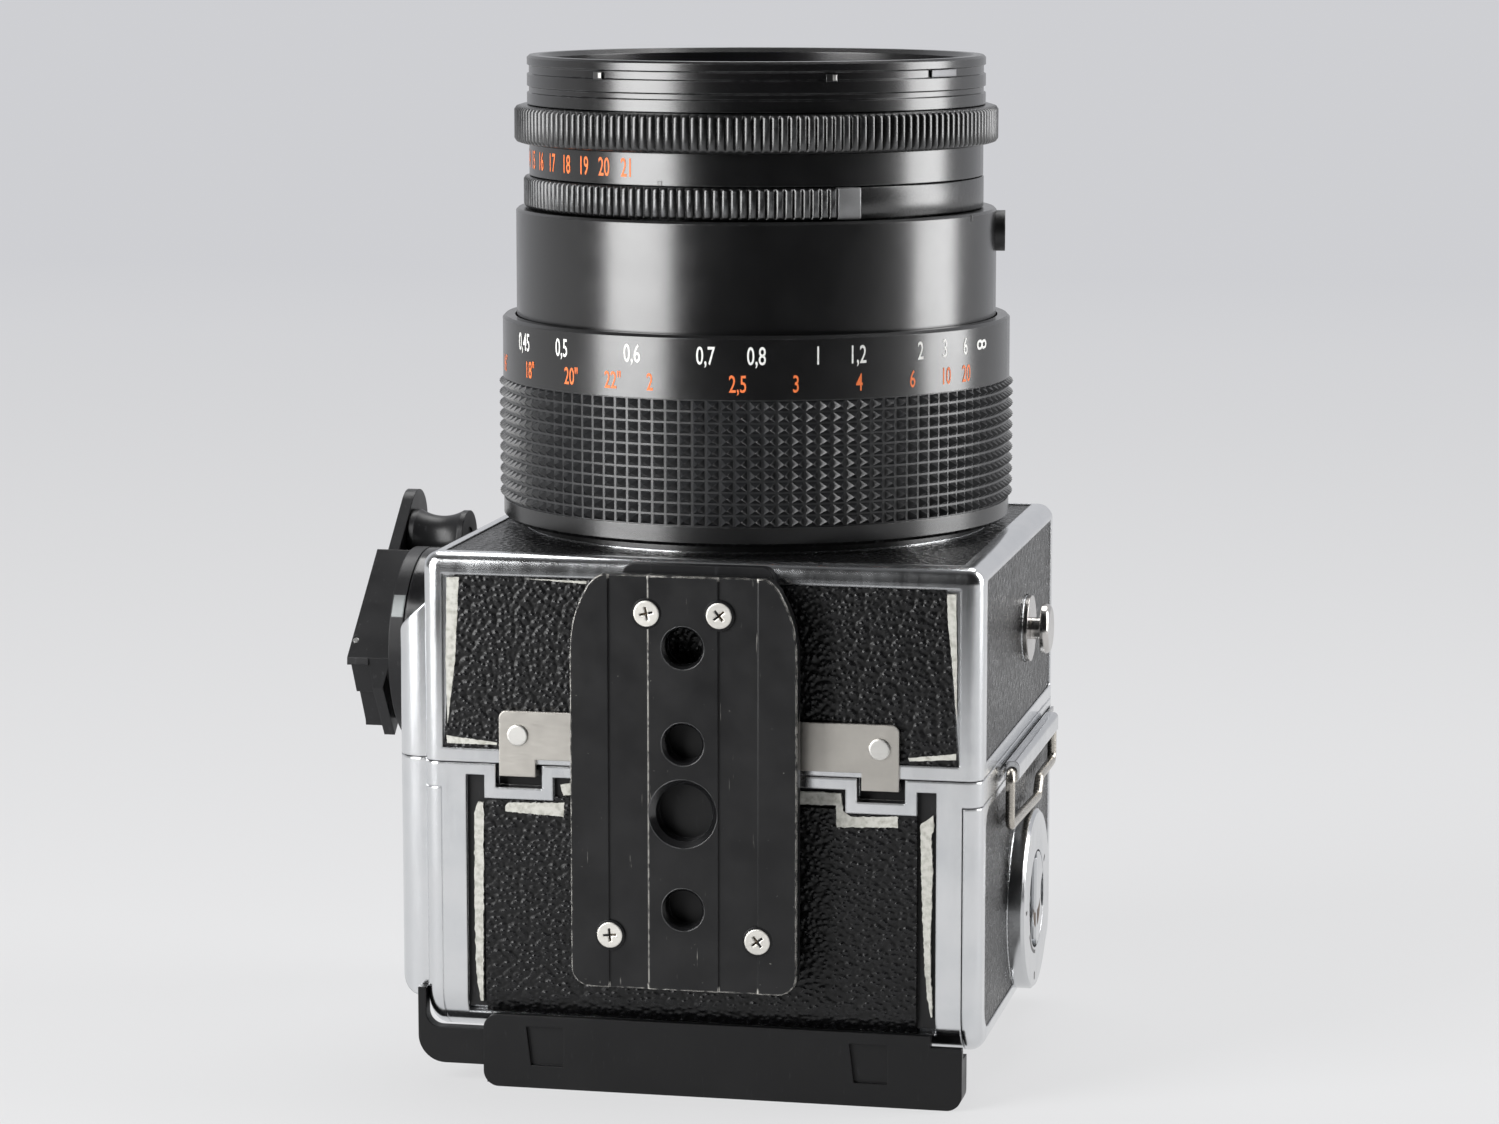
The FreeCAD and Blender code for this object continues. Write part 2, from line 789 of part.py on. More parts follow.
def crank_arm():
    """The folding arm: a thin blade with a round tip, a knuckle for the hinge and the knob's pin."""
    tip_along = knob_from_hub + arm_tip_past_knob
    blade = arm_slab(-arm_hinge_back, tip_along, arm_half_wide, x_arm - arm_thick, x_arm)
    tip = drum(arm_half_wide, arm_thick, arm_frame(tip_along, 0, x_arm - arm_thick), X_AXIS)
    neck = arm_slab(-arm_hinge_back - knuckle_web / 2, -arm_hinge_back + knuckle_web / 2, arm_half_wide,
                    hinge_x(), x_arm)
    knuckle = hinge_pin_shape(knuckle_radius, arm_half_wide)
    pin = drum(knob_pin_radius, knob_long - 1, arm_frame(knob_from_hub, 0, x_arm), X_AXIS)
    head = drum(knob_pin_radius + 0.9, 0.8, arm_frame(knob_from_hub, 0, x_arm + knob_long - 1), X_AXIS)
    hole = hinge_pin_shape(hinge_pin_radius + running_gap, arm_half_wide + 1)
    return fused([blade, tip, neck, knuckle, pin, head]).cut(hole)


def crank_knob():
    """The waisted finger knob, free to spin on its pin."""
    base_x = x_arm + ring_gap
    end_x = base_x + knob_long - ring_gap
    middle_x = (base_x + end_x) / 2
    profile = [Vector(0, 0, base_x), Vector(knob_radius, 0, base_x)]
    waist = Part.Arc(Vector(knob_radius, 0, base_x + 1), Vector(knob_waist, 0, middle_x),
                     Vector(knob_radius, 0, end_x - 1)).toShape()
    low = Part.makePolygon([Vector(0, 0, base_x), Vector(knob_radius, 0, base_x),
                            Vector(knob_radius, 0, base_x + 1)])
    high = Part.makePolygon([Vector(knob_radius, 0, end_x - 1), Vector(knob_radius, 0, end_x),
                             Vector(0, 0, end_x),
                             Vector(0, 0, base_x)])
    face = Part.Face(Part.Wire(Part.__sortEdges__(low.Edges + [waist] + high.Edges)))
    knob = face.revolve(Vector(0, 0, 0), Z_AXIS, 360)
    bore = drum(knob_pin_radius + running_gap, knob_long * 2, Vector(0, 0, base_x - knob_long / 2))
    sink = drum(knob_pin_radius + 1.1, 3, Vector(0, 0, end_x - 1.2))
    knob = knob.cut(bore).cut(sink)
    knob.rotate(Vector(0, 0, 0), Y_AXIS, 90)
    centre = arm_frame(knob_from_hub, 0, 0)
    knob.translate(centre)
    return knob


def winding_shaft():
    """The crank's shaft through the body wall, with its gear."""
    shaft = drum(shaft_radius, x_right + body_wall + 3 - x_crank_disc,
                 Vector(x_crank_disc, crank_y, crank_z), X_AXIS)
    return fused([shaft, toothed(crank_teeth, x_gear, crank_z, math.pi / 2)])


def gear_bore(height):
    return drum(gear_pin_radius + running_gap, gear_thick + 2, Vector(x_gear - 1, crank_y, height), X_AXIS)


def idler_gear():
    gear = toothed(idler_teeth, x_gear, idler_z, math.pi / 2 + math.pi / idler_teeth)
    return gear.cut(gear_bore(idler_z))


def magazine_gear():
    gear = toothed(drive_teeth, x_gear, drive_z, math.pi / 2)
    return gear.cut(gear_bore(drive_z))


def hook_spans():
    """The two hook tabs as (low, high) distances along X."""
    right = x_right + hook_in_right
    left = x_left - hook_in_left
    return [(right, right + tab_wide), (left - tab_wide, left)]


def hook_plate():
    right = hook_spans()[0][0]
    left = hook_spans()[1][1]
    low = z_body + hook_above_seam
    strip = soft_block(right, left, y_under - hook_thick, y_under, low, low + hook_tall, hook_round, Y_AXIS)
    pieces = [strip]
    for start, end in hook_spans():
        pieces.append(block(start, end, y_under - hook_thick, y_under, z_seam - tab_below_seam,
                            low + hook_round + 1))
        pieces.append(block(start, end, y_under, y_under + toe_deep, z_seam - tab_below_seam,
                            z_seam - tab_below_seam + toe_tall))
    return fused(pieces)


def rivet_places():
    spans = hook_spans()
    z = z_body + hook_above_seam + hook_tall / 2
    return [Vector(spans[0][0] + rivet_in, y_under, z), Vector(spans[1][1] - rivet_in, y_under, z)]


def hook_rivets():
    heads = []
    for place in rivet_places():
        head = drum(rivet_radius, rivet_rise, place - Y_AXIS * (hook_thick + rivet_rise), Y_AXIS)
        heads.append(head.makeFillet(rivet_rise * 0.7,
                                     edges_at(head, Y_AXIS, y_under - hook_thick - rivet_rise)))
    return Part.makeCompound(heads)


def plate_outline(y, inset):
    """The plate's outline, with a sloped shoulder each side at the top."""
    half = plate_wide / 2 - inset
    left, right = plate_off_axis - half, plate_off_axis + half
    shoulder = plate_top - plate_shoulder_long
    corners = [(left, plate_foot), (right, plate_foot), (right, shoulder),
               (right - plate_shoulder_in, plate_top),
               (left + plate_shoulder_in, plate_top), (left, shoulder)]
    return [Vector(x, y, z) for x, z in corners]


def tripod_holes():
    low = plate_foot + low_hole_above_plate_foot
    large = low + large_hole_above_low
    middle = large + middle_hole_above_large
    return {"low": low, "large": large, "middle": middle, "high": middle + high_hole_above_middle}


def screw_places():
    top = plate_top - top_screw_below_edge
    low = plate_foot + low_screw_above_foot
    places = []
    for z, apart in ((top, top_screws_apart), (low, low_screws_apart)):
        places += [Vector(plate_off_axis + side * apart / 2, plate_face + screw_sink, z)
                   for side in (-1, 1)]
    return places


def screw_shape(place, grow, length):
    head = drum(screw_head_radius + grow, screw_head_tall * 0.4 + screw_sink * (grow > 0), place
                - Y_AXIS * screw_sink * (grow > 0), Y_AXIS)
    cone = Part.makeCone(screw_head_radius + grow, screw_shank_radius + grow, screw_head_tall * 0.6,
                         place + Y_AXIS * screw_head_tall * 0.4, Y_AXIS)
    shank = drum(screw_shank_radius + grow, length, place + Y_AXIS * screw_head_tall, Y_AXIS)
    return fused([head, cone, shank])


def screw_length(place):
    """Screws through the backing are longer than the two at the foot."""
    through = plate_thick - screw_sink - screw_head_tall
    return through + backing_thick - 0.4 if place.z > z_body else through - 0.5


def plate_screws():
    return Part.makeCompound([screw_shape(place, 0, screw_length(place)) for place in screw_places()])


def tripod_plate():
    solid = prism(plate_outline(plate_face, 0), Y_AXIS * plate_thick)
    rounded = [edge for edge in edges_along(solid, Y_AXIS) if edge.Vertexes[0].Z < plate_foot + 1]
    solid = solid.makeFillet(plate_corner, rounded)
    tools = []
    for side in (-1, 1):
        edge_x = plate_off_axis + side * plate_wide / 2
        flank = [Vector(edge_x + side, plate_face + plate_thick - dovetail_depth * 2, plate_foot - 1),
                 Vector(edge_x + side, plate_back + 1, plate_foot - 1),
                 Vector(edge_x - side * dovetail_depth, plate_back + 1, plate_foot - 1),
                 Vector(edge_x - side * dovetail_depth, plate_back - 0.6, plate_foot - 1),
                 Vector(edge_x, plate_back - 0.6 - dovetail_depth, plate_foot - 1)]
        tools.append(prism(flank, Z_AXIS * (plate_long + 2)))
        x = plate_off_axis + side * groove_off_middle
        tools.append(block(x - groove_wide / 2, x + groove_wide / 2, plate_face - 1,
                           plate_face + groove_deep,
                           plate_foot - 1, plate_top + 1))
    for name, z in tripod_holes().items():
        radius = three_eighth_radius if name == "large" else quarter_hole_radius
        flare = three_eighth_flare if name == "large" else 0.45
        mouth = Vector(plate_off_axis, plate_face, z)
        tools.append(drum(radius, plate_thick + 2, mouth - Y_AXIS, Y_AXIS))
        tools.append(Part.makeCone(radius + flare, radius, flare, mouth, Y_AXIS))
    for place in screw_places():
        tools.append(screw_shape(place, screw_gap, plate_thick))
    return cut_all(solid, tools)


def plate_backing():
    x0 = plate_off_axis - backing_wide / 2 + 1.6
    top = z_front - 0.5
    backing = soft_block(x0, x0 + backing_wide, plate_back, y_under, top - backing_long, top, 2.0, Y_AXIS)
    places = [place for place in screw_places() if place.z > z_body]
    tools = [screw_shape(place, 0, plate_thick + backing_thick - 0.2) for place in places]
    holes = tripod_holes()
    hole = drum(quarter_hole_radius + 0.4, backing_thick + 2,
                Vector(plate_off_axis, plate_back - 1, holes["high"]), Y_AXIS)
    return cut_all(backing, tools + [hole])


def strap_lug(x, outward, y):
    """A flanged post with a mushroom head."""
    axis = X_AXIS * outward
    base = Vector(x, y, lug_z)
    flange = drum(lug_flange_radius, lug_flange_thick, base, axis)
    post = drum(lug_post_radius, lug_stand - lug_head_thick, base, axis)
    head = drum(lug_head_radius, lug_head_thick, base + axis * (lug_stand - lug_head_thick), axis)
    head = head.makeFillet(lug_head_thick * 0.6, edges_at(head, axis, (base + axis * lug_stand).dot(axis)))
    return fused([flange, post, head])


def strap_lugs():
    return Part.makeCompound([strap_lug(x_left, 1, left_lug_from_axis),
                              strap_lug(x_right, -1, right_lug_from_axis)])


def accessory_shoe():
    """Foot plate with two rails whose lips turn inward."""
    x0 = shoe_off_axis - shoe_wide / 2
    x1 = x0 + shoe_wide
    z0 = button_z - shoe_long / 2
    z1 = z0 + shoe_long
    floor = y_top + shoe_base_thick
    pieces = [block(x0, x1, y_top, floor, z0, z1)]
    for start, side in ((x0, 1), (x1, -1)):
        low, high = sorted((start, start + side * shoe_rail_thick))
        pieces.append(block(low, high, floor, floor + shoe_rail_tall, z0, z1))
        low, high = sorted((start, start + side * (shoe_rail_thick + shoe_lip)))
        pieces.append(block(low, high, floor + shoe_rail_tall - 0.9, floor + shoe_rail_tall, z0, z1))
    return fused(pieces)


def level_case():
    case = drum(level_radius, level_tall, Vector(level_off_axis, y_top, button_z), Y_AXIS)
    well = drum(level_glass_radius, level_tall, Vector(level_off_axis, y_top + 0.6, button_z), Y_AXIS)
    return case.cut(well)


def level_vial():
    vial = drum(level_glass_radius - running_gap, level_tall - 0.4,
                Vector(level_off_axis, y_top + 0.6, button_z), Y_AXIS)
    return vial.makeFillet(0.5, edges_at(vial, Y_AXIS, y_top + 0.2 + level_tall))


def release_collar():
    collar = drum(collar_radius, collar_tall, Vector(button_off_axis, y_top, button_z), Y_AXIS)
    bore = drum(button_radius + 2 * running_gap, collar_tall + 2,
                Vector(button_off_axis, y_top - 1, button_z), Y_AXIS)
    return collar.cut(bore)


def release_button():
    """The release button, with a hollow for a cable release in its head."""
    head_y = y_top + button_stand - button_head_tall
    head = drum(button_radius, button_head_tall, Vector(button_off_axis, head_y, button_z), Y_AXIS)
    stem = drum(button_stem_radius, button_stem_long,
                Vector(button_off_axis, head_y - button_stem_long, button_z), Y_AXIS)
    socket = Part.makeCone(0.9, 1.7, 2.4, Vector(button_off_axis, y_top + button_stand - 2.4, button_z),
                           Y_AXIS)
    return fused([head, stem]).cut(socket)


def focus_tube():
    """The fixed tube that the focus ring turns on, with the flange that seats it on the body."""
    return turned([(flange_bore, z_front), (flange_radius, z_front), (flange_radius, z_flange),
                   (tube_radius, z_flange),
                   (tube_radius, z_tube_top), (tube_bore, z_tube_top), (tube_bore, z_flange),
                   (flange_bore, z_flange)])


def focus_ring():
    low_bore = tube_radius + running_gap
    high = z_tube_top + 0.3
    seat = focus_radius - grip_seat
    profile = [(low_bore, z_focus), (focus_radius - 0.6, z_focus), (focus_radius, z_focus + 0.6),
               (focus_radius, z_grip), (seat, z_grip), (seat, z_band), (focus_radius, z_band),
               (focus_radius, z_focus_top - 0.5), (focus_radius - 0.5, z_focus_top),
               (focus_bore, z_focus_top),
               (focus_bore, high), (low_bore, high)]
    return turned(profile)


def focus_grip():
    """The rubber sleeve, with a V groove between each two of its rows."""
    seat = focus_radius - grip_seat
    row = grip_long / (grip_rows + 1)
    outline = [(seat, z_grip), (grip_radius - grip_groove, z_grip)]
    for number in range(grip_rows + 1):
        low = z_grip + number * row
        outline += [(grip_radius, low + 0.3 * row), (grip_radius, low + 0.7 * row),
                    (grip_radius - grip_groove, low + row)]
    outline.append((seat, z_band))
    return turned(outline)


def lens_barrel():
    """The moving barrel: outer skirt, top wall, guide sleeve and the neck that the front rings turn on."""
    skirt_low = z_barrel - barrel_inside
    guide_low = z_flange + guide_above_flange
    wall_low = z_barrel_top - barrel_top_thick
    profile = [(lens_bore, guide_low), (guide_radius, guide_low), (guide_radius, wall_low),
               (barrel_radius - barrel_wall, wall_low), (barrel_radius - barrel_wall, skirt_low),
               (barrel_radius, skirt_low), (barrel_radius, z_barrel_top - 0.4),
               (barrel_radius - 0.4, z_barrel_top),
               (neck_radius, z_barrel_top), (neck_radius, z_bezel), (lens_bore, z_bezel)]
    return turned(profile)


def aperture_ring():
    bore = neck_radius + running_gap
    ribs = grooved_ring(aperture_ring_radius, bore, z_aperture, z_aperture + aperture_ring_long,
                        aperture_ribs_start, aperture_ribs_turn)
    plain = ring(aperture_plain_radius, bore, z_aperture, z_aperture + aperture_ring_long)
    first = math.radians(aperture_ribs_start)
    last = first + math.radians(aperture_ribs_turn) + thumb_tab_wide / aperture_ring_radius
    keep = sector(first, last, z_aperture, z_aperture + aperture_ring_long, aperture_ring_radius + 2)
    return fused([ribs.common(keep), plain])


def sector(first, last, low, high, radius):
    """A wedge about the lens axis, from one bearing to another."""
    points = [Vector(0, 0, low)]
    for number in range(13):
        angle = first + (last - first) * number / 12
        points.append(Vector(radius * 1.2 * math.cos(angle), radius * 1.2 * math.sin(angle), low))
    return prism(points, Z_AXIS * (high - low))


def ev_ring():
    return ring(ev_ring_radius, neck_radius + running_gap, z_ev, z_ev + ev_ring_long)


def shutter_ring():
    return grooved_ring(shutter_ring_radius, neck_radius + running_gap, z_shutter,
                        z_shutter + shutter_ring_long, 0, 360)


def front_bezel():
    """The front mount: grooved rim, stepped bore and the funnel that holds the front glass."""
    mouth_low = z_tip - bezel_bore_deep
    land_top = mouth_low - funnel_deep
    groove = bezel_radius - bezel_groove
    wall = 1.6
    profile = [(bezel_radius, z_bezel), (bezel_radius, z_tip - 6.4), (groove, z_tip - 6.2),
               (groove, z_tip - 5.4),
               (bezel_radius, z_tip - 5.2), (bezel_radius, z_tip - 3.2), (groove, z_tip - 3.0),
               (groove, z_tip - 1.8),
               (bezel_radius, z_tip - 1.6), (bezel_radius, z_tip - 0.4), (bezel_radius - 0.4, z_tip),
               (bezel_bore + bezel_lip, z_tip), (bezel_bore, z_tip - bezel_lip), (bezel_bore, mouth_low),
               (bezel_bore - 2.2, mouth_low), (funnel_bore + 1.2, land_top), (funnel_bore, land_top),
               (funnel_bore, z_glass), (funnel_bore + wall, z_glass), (funnel_bore + wall, land_top - wall),
               (lens_bore - running_gap, z_bezel - 2.0), (lens_bore - running_gap, z_bezel)]
    return turned(profile)


def front_glass():
    return lens_shape(funnel_bore - running_gap, z_glass, front_glass_edge, front_glass_dome)


def rear_cell():
    """The tube that carries the rear glass down towards the film."""
    low = z_seam + rear_cell_end_above_seam
    high = z_iris
    inner = rear_cell_radius - rear_cell_wall
    flange = lens_bore - running_gap
    return turned([(inner, low), (rear_cell_radius, low), (rear_cell_radius, high - rear_cell_wall),
                   (flange, high - rear_cell_wall), (flange, high), (inner, high)])


def rear_glass():
    low = z_seam + rear_cell_end_above_seam + 0.6
    return lens_shape(rear_cell_radius - rear_cell_wall - running_gap, low, rear_glass_edge,
                      rear_glass_dome)


def iris_bearing(number):
    return 2 * math.pi * number / iris_blades


def blade_height(number):
    return z_iris + iris_plate_thick + (number + 0.6) * blade_step


def iris_housing():
    """Two plates and a wall round the blades, with the pins that the blades turn on."""
    low = z_iris
    floor = low + iris_plate_thick
    roof = floor + iris_room
    high = roof + iris_plate_thick
    case = turned([(iris_open_radius, low), (lens_bore, low), (lens_bore, high), (iris_open_radius, high),
                   (iris_open_radius, roof), (iris_room_radius, roof), (iris_room_radius, floor),
                   (iris_open_radius, floor)])
    pins = []
    for number in range(iris_blades):
        angle = iris_bearing(number)
        centre = Vector(blade_pivot_radius * math.cos(angle), blade_pivot_radius * math.sin(angle), 0)
        if number == 0:
            pins.append(drum(blade_pin_radius, blade_height(0) + blade_thick - floor + 0.1,
                             centre + Z_AXIS * floor))
        else:
            start = blade_height(number) - 0.1
            pins.append(drum(blade_pin_radius, roof - start, centre + Z_AXIS * start))
    return fused([case] + pins)


def iris_blade(number):
    """A crescent blade that swings about a pin at one end."""
    low = blade_height(number)
    outer = blade_pivot_radius + blade_half_wide
    inner = blade_pivot_radius - blade_half_wide * 2
    arc = math.radians(blade_arc)
    start, middle, end = 0.0, arc / 2, arc

    def at(radius, angle):
        return Vector(radius * math.cos(angle), radius * math.sin(angle), low)

    edges = [Part.Arc(at(outer, start), at(outer, middle), at(outer, end)).toShape(),
             Part.makeLine(at(outer, end), at(inner, end)),
             Part.Arc(at(inner, end), at(inner, middle), at(inner, start)).toShape(),
             Part.makeLine(at(inner, start), at(outer, start))]
    crescent = Part.Face(Part.Wire(edges)).extrude(Z_AXIS * blade_thick)
    pivot = at(blade_pivot_radius, 0)
    boss = drum(blade_half_wide, blade_thick, pivot)
    blade = fused([crescent, boss]).cut(drum(blade_pin_radius + running_gap, 2, pivot - Z_AXIS))
    blade.rotate(Vector(0, 0, 0), Z_AXIS, math.degrees(iris_bearing(number)))
    return blade


def socket_drum(radius, start, end):
    """A round along the flash socket's axis, between two distances from the barrel's outside."""
    angle = math.radians(socket_bearing)
    outward = Vector(math.cos(angle), math.sin(angle), 0)
    base = outward * (barrel_radius + start) + Z_AXIS * (z_barrel_top - socket_below_top)
    return drum(radius, end - start, base, outward)


def sync_socket():
    """The flash lead socket on the side of the barrel."""
    inner = socket_seat - barrel_wall
    body = socket_drum(socket_radius, inner, socket_stand)
    well = socket_drum(socket_radius - socket_wall, -socket_seat, socket_stand + 1)
    return body.cut(well).fuse(socket_drum(socket_pin_radius, inner, socket_stand - socket_seat))


def lens_barrel_with_socket_hole():
    return lens_barrel().cut(socket_drum(socket_radius, socket_seat - barrel_wall, barrel_radius / 2))


def slide_slot(grow):
    """The space of the dark slide's blade in the magazine's front plate."""
    half = gate_wide / 2 + slide_past_gate + grow
    return block(x_left - slide_reach - grow, x_left + 2, -half, half, slide_z - grow,
                 slide_z + slide_thick + grow)


def hook_notches():
    """The slots in the underside that the hook tabs stand in."""
    return [block(start - notch_gap, end + notch_gap, y_under - 1, y_under + toe_deep + 0.6,
                  z_seam - notch_below_seam, z_seam + 1) for start, end in hook_spans()]


def magazine_under_recess(grow):
    z0 = z_back + magazine_rim_back - grow
    z1 = z_seam - magazine_rim_seam + grow
    recess = block(x_right + magazine_rim_right - grow, x_left - magazine_rim_left + grow, y_under - 1,
                   y_under + back_round, z0, z1).cut(magazine_core(leather_sink))
    frames = [block(start - notch_gap - notch_frame + grow, end + notch_gap + notch_frame - grow,
                    y_under - 2, y_under + 2, z_seam - notch_below_seam - notch_frame + grow, z_seam)
              for start, end in hook_spans()]
    return cut_all(recess, frames)


def magazine_top_recess(grow):
    z0 = z_back + back_round - grow
    z1 = z_seam - magazine_rim_seam + grow
    recess = block(x_right + magazine_rim_right - grow, x_left - magazine_rim_left + grow,
                   y_top - leather_sink,
                   y_top + 1, z0, z1)
    half = catch_foot_wide / 2
    z = z_seam - catch_below_seam
    catch = block(-half - 1 + grow, half + catch_travel + 1 - grow, y_top - 2, y_top + 2,
                  z - catch_long / 2 - 1 + grow, z_seam)
    return recess.cut(catch)


def catch_groove():
    half = catch_foot_wide / 2
    z = z_seam - catch_below_seam
    return block(-half - 0.4, half + catch_travel + 0.4, y_top - catch_foot_thick - 0.1, y_top + 1,
                 z - catch_long / 2 - 0.2, z + catch_long / 2 + 0.2)


def magazine_shell():
    """The magazine's cast shell, open on the left for the film insert and pierced by the film gate."""
    case = magazine_slab(x_cover_seam, x_insert_seam, z_gate)
    room = block(x_cover_seam + body_wall, x_insert_seam + 1, y_under + body_wall, y_top - body_wall,
                 z_back + body_wall, z_gate + 1)
    front = block(x_right, x_left, y_under, y_top, z_gate, z_seam)
    front = front.makeFillet(edge_round, edges_along(front, Z_AXIS))
    half_gate = gate_wide / 2
    window = block(-half_gate, half_gate, -half_gate, half_gate, z_gate - 1, z_seam + 1)
    shell = fused([case.cut(room), front])
    return cut_all(shell, [window, slide_slot(slide_gap), magazine_under_recess(0), magazine_top_recess(0),
                           catch_groove()] + hook_notches())


def magazine_leather():
    """The underside and top leathers."""
    under = magazine_under_recess(-leather_gap).common(magazine_core(leather_sink - leather_thick))
    shrunk = block(x_right + magazine_rim_right + magazine_shrink,
                   x_left - magazine_rim_left - magazine_shrink,
                   y_under - 1, y_under + back_round, z_back, z_seam - magazine_leather_below_seam)
    top = magazine_top_recess(-leather_gap)
    top_layer = block(x_right, x_left, y_top - leather_sink, y_top - leather_sink + leather_thick,
                      z_back, z_seam)
    return Part.makeCompound([under.common(shrunk), top.common(top_layer)])


def magazine_gear_cover():
    """The magazine's right side plate with the lower part of the gear cover."""
    plate = magazine_slab(x_right, x_cover_seam, z_gate)
    outside = [edge for edge in edges_at(plate, X_AXIS, x_right)
               if not all(abs(vertex.Z - z_gate) < 0.001 for vertex in edge.Vertexes)]
    plate = plate.makeFillet(edge_round, outside)
    cover = rounded_cover(cover_z0, z_seam, 0, z_seam)
    room = gear_room(drive_z - gear_module * (drive_teeth + 4) / 2, z_seam + 1)
    seat = drum(wind_key_radius + slide_gap, wind_key_sink, Vector(x_cover, wind_key_y, wind_key_z), X_AXIS)
    pivot = drum(gear_pin_radius + running_gap, wind_key_sink + wind_key_pin_long + slide_gap,
                 Vector(x_cover, wind_key_y, wind_key_z), X_AXIS)
    window = drum(window_radius, 1.0, Vector(x_right, window_from_axis, wind_key_z), X_AXIS)
    return fused([cut_all(fused([plate, cover]), [room, seat, pivot, window]), cover_pin(drive_z)])


def wind_key():
    """The magazine's winding key: a sunk disc with a bar to grip."""
    floor = x_cover + wind_key_sink
    face = floor - wind_key_disc_thick
    half_long = wind_key_bar_long / 2
    half_wide = wind_key_bar_wide / 2
    disc = drum(wind_key_radius, wind_key_disc_thick, Vector(face, wind_key_y, wind_key_z), X_AXIS)
    bar = soft_block(face - wind_key_bar_rise, face + 0.1, wind_key_y - half_long, wind_key_y + half_long,
                     wind_key_z - half_wide, wind_key_z + half_wide, half_wide * 0.9, X_AXIS)
    pin = drum(gear_pin_radius, wind_key_pin_long + 0.1, Vector(floor - 0.1, wind_key_y, wind_key_z),
               X_AXIS)
    return fused([disc, bar, pin])


def magazine_catch():
    """The sliding catch that frees the body from the magazine."""
    half = catch_foot_wide / 2
    z = z_seam - catch_below_seam
    foot = block(-half, half, y_top - catch_foot_thick, y_top, z - catch_long / 2, z + catch_long / 2)
    knob = soft_block(-catch_wide / 2, catch_wide / 2, y_top, y_top + catch_stand, z - catch_long / 2,
                      z + catch_long / 2,
                      1.0, Z_AXIS)
    grooves = [block(x - 0.3, x + 0.3, y_top + catch_stand - 0.5, y_top + catch_stand + 1, z - 9, z + 9)
               for x in (-3.0, -1.5, 0, 1.5, 3.0)]
    return fused([foot, cut_all(knob, grooves)])


def holder_band():
    """The holder's long front band, whose lip stands in front of the magazine's edge."""
    x0 = x_right + holder_from_right
    x1 = x_left - holder_from_left
    y0 = y_under - holder_lip_thick
    top = z_back + holder_lip_tall
    band = soft_block(x0, x1, y0, y0 + holder_band_deep, 0, top, holder_round, Y_AXIS)
    behind = block(x0 - 1, x1 + 1, y_under, y_top, z_back, top + 1)
    end = block(x1 - holder_end_long, x1 + 1, y0 - 1, y_top, z_back + holder_end_tall, top + 1)
    tabs = []
    for start in (x0 + holder_tab_from_end, x1 - holder_tab_from_left - holder_tab_wide):
        corners = [(start + holder_tab_taper, 0), (start + holder_tab_wide, 0),
                   (start + holder_tab_wide, holder_tab_tall), (start, holder_tab_tall)]
        tabs.append(prism([Vector(x, y0 - 1, holder_tab_above_foot + z) for x, z in corners],
                          Y_AXIS * (1 + holder_tab_sink)))
    return cut_all(band, [behind, end] + tabs)


def holder_arm():
    """The holder's arm, which wraps the magazine's right corner."""
    arm_x = x_right - holder_arm_thick
    x1 = x_right + holder_from_right + holder_round
    y0 = y_under + 0.5
    y1 = y0 + holder_arm_wide
    low = z_back - holder_arm_foot
    top = z_back + holder_arm_rise
    outside = soft_block(arm_x, 2 * x1 - arm_x, y0, y1, low, 2 * top, holder_arm_round, Y_AXIS)
    inside = soft_block(x_right, 2 * x1 - x_right, y0 - 1, y1 + 1, low + holder_arm_foot_thick, 2 * top,
                        holder_arm_round_in, Y_AXIS)
    return outside.cut(inside).common(block(arm_x - 1, x1, y0 - 1, y1 + 1, low - 1, top))


def slide_holder():
    """The moulded holder under the magazine: a wide band and the narrower pocket for the dark slide."""
    x0 = x_right + holder_from_right
    x1 = x_left - holder_from_left - holder_pocket_inset
    y1 = y_top - holder_far_inset
    pocket = block(x0, x1, y_under + 1, y1, 0, z_back)
    middle = (x0 + x1) / 2
    slot_z = z_back / 2
    slot = block(middle - holder_slot_wide / 2, middle + holder_slot_wide / 2, y1 - holder_slot_deep,
                 y1 + 1,
                 slot_z, slot_z + holder_slot_tall)
    return fused([holder_band(), pocket, holder_arm()]).cut(slot)


def insert_side_plate():
    """The film insert's outer plate, which closes the magazine's left side."""
    plate = magazine_slab(x_insert_seam + seam_gap, x_left, z_gate - seam_gap)
    outside = [edge for edge in edges_at(plate, X_AXIS, x_left)
               if not all(abs(vertex.Z - z_gate + seam_gap) < 0.001 for vertex in edge.Vertexes)]
    plate = plate.makeFillet(edge_round, outside)
    recess = insert_panel(0, x_left - leather_sink, x_left + 1)
    recess = recess.cut(drum(disc_radius, 10, Vector(x_left - 5, disc_from_axis, disc_z), X_AXIS))
    pin = drum(disc_pin_radius + running_gap, 20, Vector(x_left - 10, disc_from_axis, disc_z), X_AXIS)
    return cut_all(plate, [recess, pin])


def insert_panel(shrink, x0, x1):
    return soft_block(x0, x1, y_under + side_rim_under + shrink, y_top - side_rim_top - shrink,
                      z_back + magazine_rim_back + shrink, z_gate - insert_rim_front - shrink,
                      panel_round, X_AXIS)


def insert_leather():
    x0 = x_left - leather_sink
    sheet = insert_panel(leather_gap, x0, x0 + leather_thick)
    return sheet.cut(drum(disc_radius + leather_gap, 10, Vector(x_left - 5, disc_from_axis, disc_z),
                          X_AXIS))


def spool_places():
    return {"supply": -near_spool_from_axis, "take_up": far_spool_from_axis}


